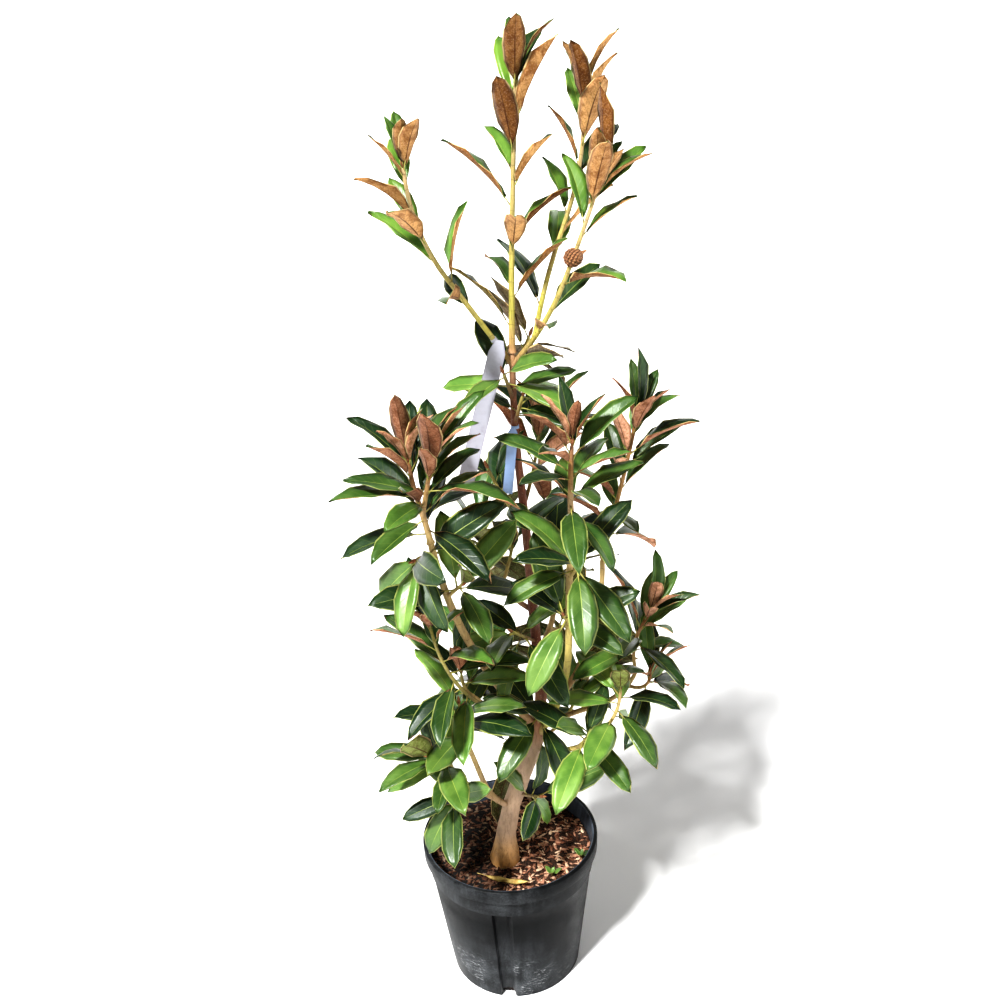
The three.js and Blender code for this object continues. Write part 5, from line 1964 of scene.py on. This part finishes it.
@dataclass
class Foliage:
    """The leaves, each an opaque blade of a few faces in its own outline, with its stalk.

    Outline and stalk are places along the leaf with half widths, both as shares of its sizes.
    """

    UPPER, UNDER, STALK = 0.0, 1.0, 2.0

    growth: Growth
    thickness: float = 0.0011
    wave: float = 0.02
    wave_lag: float = 1.9
    fold: Pair = (0.1, 0.4)
    young_fold: Pair = (0.3, 0.62)
    young_width: float = 0.86
    ripples: float = 2.2
    bend: Pair = (-0.09, 0.03)
    bend_from: float = 0.35
    bend_gain: float = 2.4
    crease_half: float = 0.1
    deep_greens: float = 1.4
    seed: int = 23
    outline: tuple[Pair, ...] = (
        (0.13, 0.012), (0.23, 0.086), (0.38, 0.149), (0.56, 0.169), (0.74, 0.151), (0.9, 0.089),
        (1.0, 0.001),
    )
    columns: tuple[float, ...] = (-1.0, -0.5, 0.0, 0.5, 1.0)
    stalk: tuple[Pair, ...] = ((-0.01, 0.014), (0.10, 0.0115), (0.24, 0.006))
    stalk_section: tuple[Pair, ...] = ((1.0, 0.2), (0.0, -1.0), (-1.0, 0.2))
    stalk_lift: float = 160.0
    felt_from: float = 0.15

    def template(self) -> Object:
        """A flat leaf whose points carry where they belong on the blade or the stalk.

        Its numbers are blade_share along the leaf, blade_side across it, blade_width as a share
        of the leaf's width, blade_lift off its middle, and leaf_part: upper, under or stalk.
        """
        points, faces, part = [], [], []
        last_row, last = len(self.outline) - 1, len(self.columns) - 1
        upper, under = {}, {}
        for row, (at, half) in enumerate(self.outline):
            for column, across in enumerate(self.columns):
                on_edge = row in (0, last_row) or column in (0, last)
                upper[row, column] = under[row, column] = len(points)
                points.append((at, across, across * half, 0.0 if on_edge else 1.0))
                if not on_edge:
                    under[row, column] = len(points)
                    points.append((at, across, across * half, -1.0))
        for row in range(last_row):
            for column in range(last):
                on, next_to = row + 1, column + 1
                first, *others = ((row, column), (row, next_to), (on, next_to), (on, column))
                faces.append([upper[c] for c in (first, *others)])
                faces.append([under[c] for c in (first, *reversed(others))])
                part += [self.UPPER, self.UNDER]
        start, sides = len(points), len(self.stalk_section)
        for at, half in self.stalk:
            for across, up in self.stalk_section:
                points.append((at, 0.0, across * half, up * half * self.stalk_lift))
        for ring in range(len(self.stalk) - 1):
            for k in range(sides):
                a, b = (start + ring * sides + corner % sides for corner in (k, k + 1))
                faces.append([a, b, b + sides, a + sides])
        ends = list(range(start, len(points)))
        faces += [ends[:sides][::-1], ends[-sides:]]
        part += [self.STALK] * (len(faces) - len(part))
        made = mesh_object("leaf_template", [(width, at, 0.0) for at, _, width, _ in points], faces)
        for name, values in zip(("share", "side", "width", "lift"), zip(*points)):
            carry(made, f"blade_{name}", values)
        layer = made.data.attributes.new("leaf_part", "FLOAT", "FACE")
        layer.data.foreach_set("value", part)
        return made

    def young(self, leaf: Leaf) -> bool:
        """Whether a leaf is young: felted below, and folded still."""
        return SHOOTS[leaf.shoot].spray.felted and leaf.at > self.felt_from

    def colours(self, leaf: Leaf, following: Numbers) -> tuple[Colour, Colour]:
        """A leaf's colours above and below, dealt between its spray's base colours."""
        greens, *lower = SHOOTS[leaf.shoot].spray.value
        above = between(*map(tint, greens), following() ** self.deep_greens)
        return above, between(*map(tint, lower[-1 if self.young(leaf) else 0]), following())

    def stands(self, leaves: Sequence[Leaf]) -> Object:
        """One point for each leaf, carrying its axes, sizes and colours."""
        following = seeded_numbers(self.seed)
        narrow = [self.young_width if self.young(leaf) else 1.0 for leaf in leaves]
        folds = [self.young_fold if self.young(leaf) else self.fold for leaf in leaves]
        above, below = zip(*(self.colours(leaf, following) for leaf in leaves))
        carried = {
            "along": [leaf.along for leaf in leaves],
            "face": [leaf.face for leaf in leaves],
            "across": [leaf.across for leaf in leaves],
            "length": [leaf.length * MM for leaf in leaves],
            "wide": [leaf.wide * share * MM for leaf, share in zip(leaves, narrow)],
            "upper": above,
            "under": below,
            "bend": [mix(*self.bend, following()) for _ in leaves],
            "fold": [mix(*ends, following()) for ends in folds],
            "phase": [2 * math.pi * following() for _ in leaves],
        }
        made = mesh_object("leaf_stands", [leaf.foot * MM for leaf in leaves])
        for name, values in carried.items():
            carry(made, f"leaf_{name}", values)
        return made

    def spots(self, tree: GeometryTree) -> Socket:
        """Where the points of blades and stalks go.

        Args:
            tree: the tree whose mesh carries the numbers of the stands and of the template.

        Returns:
            The places, none of them out of the solids' box.
        """
        camber = tree.size("Camber", LeafRule.CAMBER * 4)
        thickness = tree.size("Thickness", self.thickness)
        wave = tree.size("Margin Wave", self.wave)
        numbers = ("share", "side", "width", "lift")
        share, side, width, lift = (tree.read(f"blade_{n}") for n in numbers)
        numbers = ("length", "wide", "bend", "fold", "phase")
        length, wide, bend, fold, phase = (tree.read(f"leaf_{n}") for n in numbers)
        axes = ("along", "face", "across", "foot")
        along, face, across, spot = (tree.read(f"leaf_{n}", "FLOAT_VECTOR") for n in axes)
        arch = tree.times(tree.times(share, tree.math("SUBTRACT", 1.0, share)), camber)
        late = tree.math("MAXIMUM", tree.math("SUBTRACT", share, self.bend_from), 0.0)
        bowed = tree.times(tree.math("POWER", late, 2.0), self.bend_gain)
        bent = tree.plus(arch, tree.times(bowed, bend))
        turn = tree.scaled(side, self.wave_lag, phase)
        ripple = tree.math("SINE", tree.scaled(share, self.ripples * 2 * math.pi, turn))
        edge = tree.times(tree.times(side, side), tree.times(ripple, wave))
        over = tree.times(tree.plus(bent, edge), length)
        out = tree.times(width, wide)
        folded = tree.times(tree.size_of(out), fold)
        thick = tree.times(lift, tree.times(thickness, 0.5))
        rise = tree.plus(tree.plus(over, folded), thick)
        for axis, reach in ((along, tree.times(share, length)), (face, rise), (across, out)):
            spot = tree.vector("ADD", spot, tree.vector("SCALE", axis, reach))
        for operation, label, corner in zip(("MAXIMUM", "MINIMUM"), ("Lowest", "Highest"), CAD_BOX):
            spot = tree.vector(operation, spot, tree.size(label, tuple(corner), "Vector"))
        return spot

    def grow(self, leaves: Sequence[Leaf], name: str, finishes: Sequence[Finish]) -> Object:
        """Shapes the template on every stand.

        Args:
            leaves: the leaves.
            name: the finished piece.
            finishes: of the upper side, the underside and the stalk.

        Returns:
            The piece.
        """
        shape = self.template()
        tree = GeometryTree(name)
        stands = tree.keep(tree.mesh, "leaf_foot", tree.own("Position"), "FLOAT_VECTOR")
        shaped = tree.move(tree.copies(stands, shape), position=self.spots(tree))
        part = tree.read("leaf_part")
        on_rib = tree.math("LESS_THAN", tree.size_of(tree.read("blade_side")), self.crease_half)
        crease = tree.times(on_rib, tree.math("LESS_THAN", part, self.STALK - 0.5))
        tree.finish(shaped, dict(zip(("Upper", "Under", "Stalk"), finishes)), part, crease)
        made = tree.grow(self.stands(leaves), name)
        remove(shape)
        return made

    @staticmethod
    def finishes() -> tuple[Finish, Finish, Finish]:
        """What a green leaf wears above, below and on its stalk."""
        return LeafUpper("leaf_upper"), LeafUnder("leaf_under"), Stalk("leaf_stalk")

    def build(self) -> None:
        """Grows the leaves and dresses them."""
        self.growth.grow_leaves()
        settle(self.grow(self.growth.leaves, "leaves", self.finishes()), "leaves", *MASSES)


@dataclass
class SeedCone:
    """The brown cone on its shoot: a plump core under overlapping scales, and a short beak."""

    growth: Growth
    radius: float = 13.5
    length: float = 29.0
    beak: float = 9.0
    bearing: float = -10.0
    rise: float = 28.0
    scales: int = 90
    scale_size: float = 6.5
    seated: float = 0.94
    core_share: float = 0.9
    core_sides: int = 16
    core_tone: float = 0.35
    beak_rings: tuple[Pair, ...] = ((0.35, 2.2), (0.8, 1.1))
    finish: Finish = ConeScale("seed_cone")

    def scale(self) -> Object:
        """One scale, pointing along +Z and bulging along +X."""
        points = [(-0.1, -0.42, 0), (0.12, 0, 0.1), (-0.1, 0.42, 0), (-0.25, 0, 0)]
        points += [(0.0, -0.36, 0.55), (0.2, 0, 0.55), (0.0, 0.36, 0.55), (-0.1, 0, 0.5)]
        points += [(0.05, 0, -0.12), (0.06, 0, 0.95)]
        made = closed_form("scale", points, loft_faces(2, 4))
        carry(made, "scale_tip", [0.0] * 4 + [0.55] * 4 + [0.0, 1.0])
        return made

    def build(self) -> None:
        """Builds the cone round its shoot and dresses it."""
        shoot, share = FRUIT_ON
        centre = self.growth.limbs[shoot].point(share)
        axis = heading(self.bearing, self.rise)
        side = unit(np.cross(axis, UP))
        across = np.cross(axis, side)
        half = self.length / 2
        turn = math.radians(LeafRule.TURN)
        points, outs, ups = [], [], []
        for k in range(self.scales):
            height = 2 * (k + 0.5) / self.scales - 1
            angle = k * turn
            level = math.sqrt(1 - height * height)
            out = swung(side, across, angle) * level
            seat = (axis * (height * half) + out * self.radius) * self.seated
            points.append((centre + seat) * MM)
            outs.append(unit(out + axis * height))
            ups.append(unit(square_to(outs[-1], axis)))
        seats = mesh_object("seats", points)
        carry(seats, "seat_out", outs)
        carry(seats, "seat_up", ups)
        shape = self.scale()
        tree = GeometryTree("seed_cone")
        size = tree.size("Scale Size", self.scale_size * MM)
        up, out = (tree.read(f"seat_{name}", "FLOAT_VECTOR") for name in ("up", "out"))
        sockets = {"Primary Axis": up, "Secondary Axis": out}
        turned = {"primary_axis": "Z", "secondary_axis": "X"}
        facing = tree.put("FunctionNodeAxesToRotation", sockets, **turned)
        placed = tree.copies(tree.mesh, shape, rotation=facing.outputs[0], scale=size)
        tree.finish(placed, {"Surface": self.finish})
        scales = tree.grow(seats, "seed_cone_scales")
        remove(shape)
        settle(scales, "bough_bark")
        settle(self.core(centre, axis, side, across), "bough_bark", finish=self.finish)

    def core(self, centre: Array, axis: Array, side: Array, across: Array) -> Object:
        """The egg under the scales, drawn out into the beak.

        Args:
            centre: its middle.
            axis: its direction.
            side: a direction square to its axis.
            across: the direction square to both.

        Returns:
            The core.
        """
        half = self.length / 2
        bows = [math.radians(angle) for angle in range(15, 166, 15)]
        rows = [(-half * math.cos(a), self.radius * self.core_share * math.sin(a)) for a in bows]
        rows += [(half + self.beak * share, wide) for share, wide in self.beak_rings]
        outs = [swung(side, across, angle) for angle in turns(self.core_sides)]
        points = [(centre + axis * up - out * wide) * MM for up, wide in rows for out in outs]
        points += [(centre - axis * half) * MM, (centre + axis * (half + self.beak)) * MM]
        made = closed_form("seed_cone_core", points, loft_faces(len(rows), self.core_sides))
        carry(made, "scale_tip", [self.core_tone] * len(points))
        smooth(made)
        return made


# ---- labels and fallen leaf


@dataclass
class Label:
    """A long plastic strip that hangs in front of a stem from a loop round it."""

    name: str
    on: tuple[str, float]
    aside: float
    length: float
    azimuth: tuple[float, ...]
    rise: tuple[float, ...]
    width: float
    thickness: float
    stand_off: float
    finish: Finish
    shown_thickness: float = 0.5
    kept: float = 4.0
    curl: float = 2.2
    cup: float = 0.25
    sway: float = 0.105
    sways: float = 7.0
    neck: float = 0.45
    neck_share: float = 0.08
    crisp_from: float = 40.0
    rows: int = 36
    columns: int = 7
    loop_sides: int = 24
    loop_gap: float = 0.35
    loop_section: tuple[Pair, ...] = ((0.0, -2.5), (0.6, -2.5), (0.6, 2.5), (0.0, 2.5))

    def axis(self, growth: Growth) -> Limb:
        """The strip's axis."""
        parent, share = self.on
        stem = growth.limbs[parent]
        off = stem.radius_at(share) + self.stand_off + self.thickness / 2
        start = stem.point(share) + FRONT * off
        start[0] += self.aside
        return Limb(start, self.length, self.azimuth, self.rise, lambda _: self.thickness / 2)

    def across(self, axis: Limb, share: float) -> Array:
        """The level direction across the strip."""
        return unit(np.cross(axis.tangent(share), FRONT))

    def clear_with(self, growth: Growth) -> None:
        """Adds the strip's middle and both edges to what leaves keep clear of.

        Args:
            growth: the limbs and their leaves to be.
        """
        axis = self.axis(growth)
        for side in (-1, 0, 1):
            for i in range(Limb.STEPS):
                low, middle, high = (step / Limb.STEPS for step in (i, i + 0.5, i + 1))
                shift = self.across(axis, middle) * (side * (self.width / 2 - self.kept))
                growth.rods.add(axis.point(low) + shift, axis.point(high) + shift, self.kept)

    def build(self, growth: Growth) -> None:
        """Builds the strip with its loop and dresses it."""
        axis = self.axis(growth)
        columns = np.linspace(-1, 1, self.columns)
        ring = [(x, 1) for x in columns] + [(x, -1) for x in reversed(columns)]
        points, sides = [], []
        for row in range(self.rows + 1):
            share = row / self.rows
            across = self.across(axis, share)
            facing = np.cross(across, axis.tangent(share))
            half = self.width / 2 * mix(self.neck, 1.0, min(share / self.neck_share, 1.0))
            sway = self.curl * self.sway * math.sin(share * self.sways + self.width)
            for x, way in ring:
                cup = self.curl * self.cup * (x * x - 0.5)
                lift = sway + cup + way * self.shown_thickness / 2
                points.append((axis.point(share) + across * (x * half) + facing * lift) * MM)
                sides.append(x)
        points += [axis.point(0) * MM, axis.point(1) * MM]
        sides += [0.0, 0.0]
        strip = closed_form(f"{self.name}_strip", points, loft_faces(self.rows + 1, len(ring)))
        carry(strip, "strip_side", sides)
        smooth(strip, self.crisp_from)
        settle(strip, self.name, self.name, finish=self.finish)
        settle(self.loop(growth), self.name, finish=self.finish)

    def loop(self, growth: Growth) -> Object:
        """The band that ties the strip to its stem."""
        parent, share = self.on
        stem = growth.limbs[parent]
        centre, axis = stem.point(share), stem.tangent(share)
        side = unit(square_to(axis, FRONT))
        across = np.cross(axis, side)
        reach = stem.radius_at(share) + self.loop_gap
        points = []
        for angle in turns(self.loop_sides):
            out = swung(side, across, angle)
            points += [
                (centre + out * (reach + off) + axis * up) * MM for off, up in self.loop_section
            ]
        faces = loft_faces(self.loop_sides, len(self.loop_section), closed=True)
        made = closed_form(f"{self.name}_loop", points, faces)
        carry(made, "strip_side", [0.0] * len(points))
        return made


LABELS = (
    Label(
        "label_white", ("top_left", 0.15), aside=9, length=238, azimuth=(-166, -170, -174),
        rise=(-73, -73, -74), width=26, thickness=1.2, stand_off=0.8,
        finish=LabelStrip("label_white", tint("a2a2ac"), tint("7e7a86")),
    ),
    Label(
        "label_blue", ("trunk", 0.875), aside=-3, length=108, azimuth=(-143, -158),
        rise=(-81, -81), width=16, thickness=1.0, stand_off=0.3,
        finish=LabelStrip("label_blue", tint("8ba3c8"), tint("74829c")),
    ),
)


@dataclass
class FallenLeaf:
    """A dry yellow leaf on the bark in front of the trunk, folded as one shoot's leaves are."""

    like: str = "left"
    at: float = 0.5
    foot: Triple = (-62.0, -78.0, 255.0)
    bearing: float = -20.0
    rise: float = 1.5
    lean: float = 0.25
    length: float = 98.0
    wide: float = 40.0
    finish: Finish = Plain("dry_leaf", tint("d9c27e"), tint("a88a4e"), scale=90.0)

    def build(self, foliage: Foliage) -> None:
        """Lays the leaf, its underside up."""
        along = heading(self.bearing, self.rise)
        face = -unit(square_to(along, UP + self.lean * FRONT))
        leaf = Leaf(self.like, self.at, np.array(self.foot), along, face, self.length, self.wide)
        settle(foliage.grow([leaf], "fallen_leaf", [self.finish] * 3), "leaves")


@dataclass
class Sprouts:
    """Small weeds in the bark near the rim, each a fan of little leaves as green as one shoot's."""

    like: str = "neck_front"
    feet: tuple[Pair, ...] = ((126.0, -42.0), (70.0, -84.0))
    sunk: float = 1.0
    leaves: int = 4
    rise: float = 38.0
    rise_step: float = 8.0
    lengths: Pair = (23.0, 14.0)
    fullness: float = 1.5

    def build(self, foliage: Foliage) -> None:
        """Stands the little leaves round each foot."""
        made = []
        for spot in self.feet:
            foot = np.array([*spot, Pot.LEVEL - self.sunk])
            for k in range(self.leaves):
                along = heading(LeafRule.TURN * k, self.rise + self.rise_step * k)
                face = unit(square_to(along, UP))
                length = mix(*self.lengths, k / self.leaves)
                made.append(Leaf(self.like, 0.0, foot, along, face, length, length * self.fullness))
        settle(foliage.grow(made, "sprouts", foliage.finishes()), "leaves")


# ---- studio


@dataclass(frozen=True)
class PaleFloor(Finish):
    """The matt floor, clouded between two near whites."""

    light: Colour = tint("f9f9f9")
    dark: Colour = tint("f6f6f5")
    cloud_scale: float = 1.3

    def dress(self, nodes: ShaderNodes, place: Socket) -> None:
        """Faint wide clouds, with hardly any shine."""
        cloud = nodes.ramp(nodes.noise(place, self.cloud_scale), 0.3, 0.7)
        colour = nodes.blend(cloud, self.dark, self.light)
        nodes.surface(base_color=colour, roughness=0.95, specular_ior_level=0.05)


@dataclass
class Studio:
    """A pale floor, soft light and the camera."""

    eye: Triple = (-0.003, -1.631, 1.623)
    right: Triple = (0.99803, -0.03407, -0.05261)
    up: Triple = (0.06168, 0.38521, 0.92077)
    forward: Triple = (0.01111, 0.92220, -0.38655)
    focal_share: float = 1.1
    sensor: float = 36.0
    middle: float = 0.9
    daylight: float = 0.18
    key_strength: float = 5.2
    key_angle: float = 7.0
    key_bearing: float = -125.0
    key_rise: float = 52.0
    lamps: tuple[tuple[str, Triple, float, float], ...] = (
        ("fill", (2.4, -1.6, 1.8), 4.0, 1.8),
        ("back", (0.8, 2.4, 2.6), 8.0, 1.4),
    )
    floor_sides: int = 64
    floor_rings: tuple[Pair, ...] = ((2.0, 0.0), (5.0, 0.0), (7.0, 0.35), (9.5, 1.6), (14.5, 5.6))
    floor_finish: Finish = PaleFloor("pale_floor")

    def camera(self) -> None:
        """Stands the camera."""
        data = bpy.data.cameras.new("camera")
        data.sensor_width = self.sensor
        data.lens = self.sensor * self.focal_share
        axes = Matrix((self.right, self.up, [-x for x in self.forward])).transposed()
        camera = stand("camera", data)
        camera.matrix_world = Matrix.Translation(self.eye) @ axes.to_4x4()
        bpy.context.scene.camera = camera

    def lamp(self, name: str, kind: str, place: Sequence[float], **sizes: float) -> None:
        """Hangs a lamp that shines from a place on the middle of the plant.

        Args:
            name: its name.
            kind: AREA, or SUN for light that is even at every depth.
            place: where it hangs, or the side that it shines from.
            sizes: its energy and its size or angle.
        """
        data = bpy.data.lights.new(name, kind)
        for key, value in sizes.items():
            setattr(data, key, value)
        turned = (Vector(place) - Vector((0, 0, self.middle))).to_track_quat("Z", "Y")
        stand(name, data).matrix_world = Matrix.Translation(place) @ turned.to_matrix().to_4x4()

    def floor(self) -> None:
        """Lays the floor, a wide flat dish that sweeps up far behind the plant on every side."""
        sides = self.floor_sides
        outs = [heading(360 * k / sides, 0) for k in range(sides)]
        rings = [[out * reach + UP * rise for out in outs] for reach, rise in self.floor_rings]
        faces = [tuple(range(sides))]
        for ring in range(len(rings) - 1):
            for k in range(sides):
                a, b = ring * sides + k, ring * sides + (k + 1) % sides
                faces.append((a, a + sides, b + sides, b))
        made = mesh_object("floor", [p for ring in rings for p in ring], faces)
        smooth(made)
        made.data.materials.append(self.floor_finish.material())

    def build(self) -> None:
        """Sets up floor, light and camera."""
        self.floor()
        world = bpy.data.worlds.new("daylight")
        world.use_nodes = True
        background = world.node_tree.nodes["Background"]
        background.inputs["Color"].default_value = (1.0, 1.0, 1.0, 1.0)
        background.inputs["Strength"].default_value = self.daylight
        bpy.context.scene.world = world
        key = heading(self.key_bearing, self.key_rise) + UP * self.middle
        self.lamp("key", "SUN", key, energy=self.key_strength, angle=math.radians(self.key_angle))
        for name, place, energy, size in self.lamps:
            self.lamp(name, "AREA", place, energy=energy, size=size)
        shown = bpy.context.scene.view_settings
        shown.view_transform = "Standard"
        shown.look = "High Contrast"
        self.camera()


def main() -> None:
    """Builds the plant, its pot and the studio, in order."""
    logging.basicConfig(level=logging.INFO, format="%(name)s: %(message)s")
    growth = Growth()
    for label in LABELS:
        label.clear_with(growth)
    pot = Pot()
    pot.build()
    Ground(pot).build()
    foliage = Foliage(growth)
    foliage.build()
    Wood(growth).build()
    SeedCone(growth).build()
    for label in LABELS:
        label.build(growth)
    FallenLeaf().build(foliage)
    Sprouts().build(foliage)
    Studio().build()


if __name__ == "__main__":
    main()
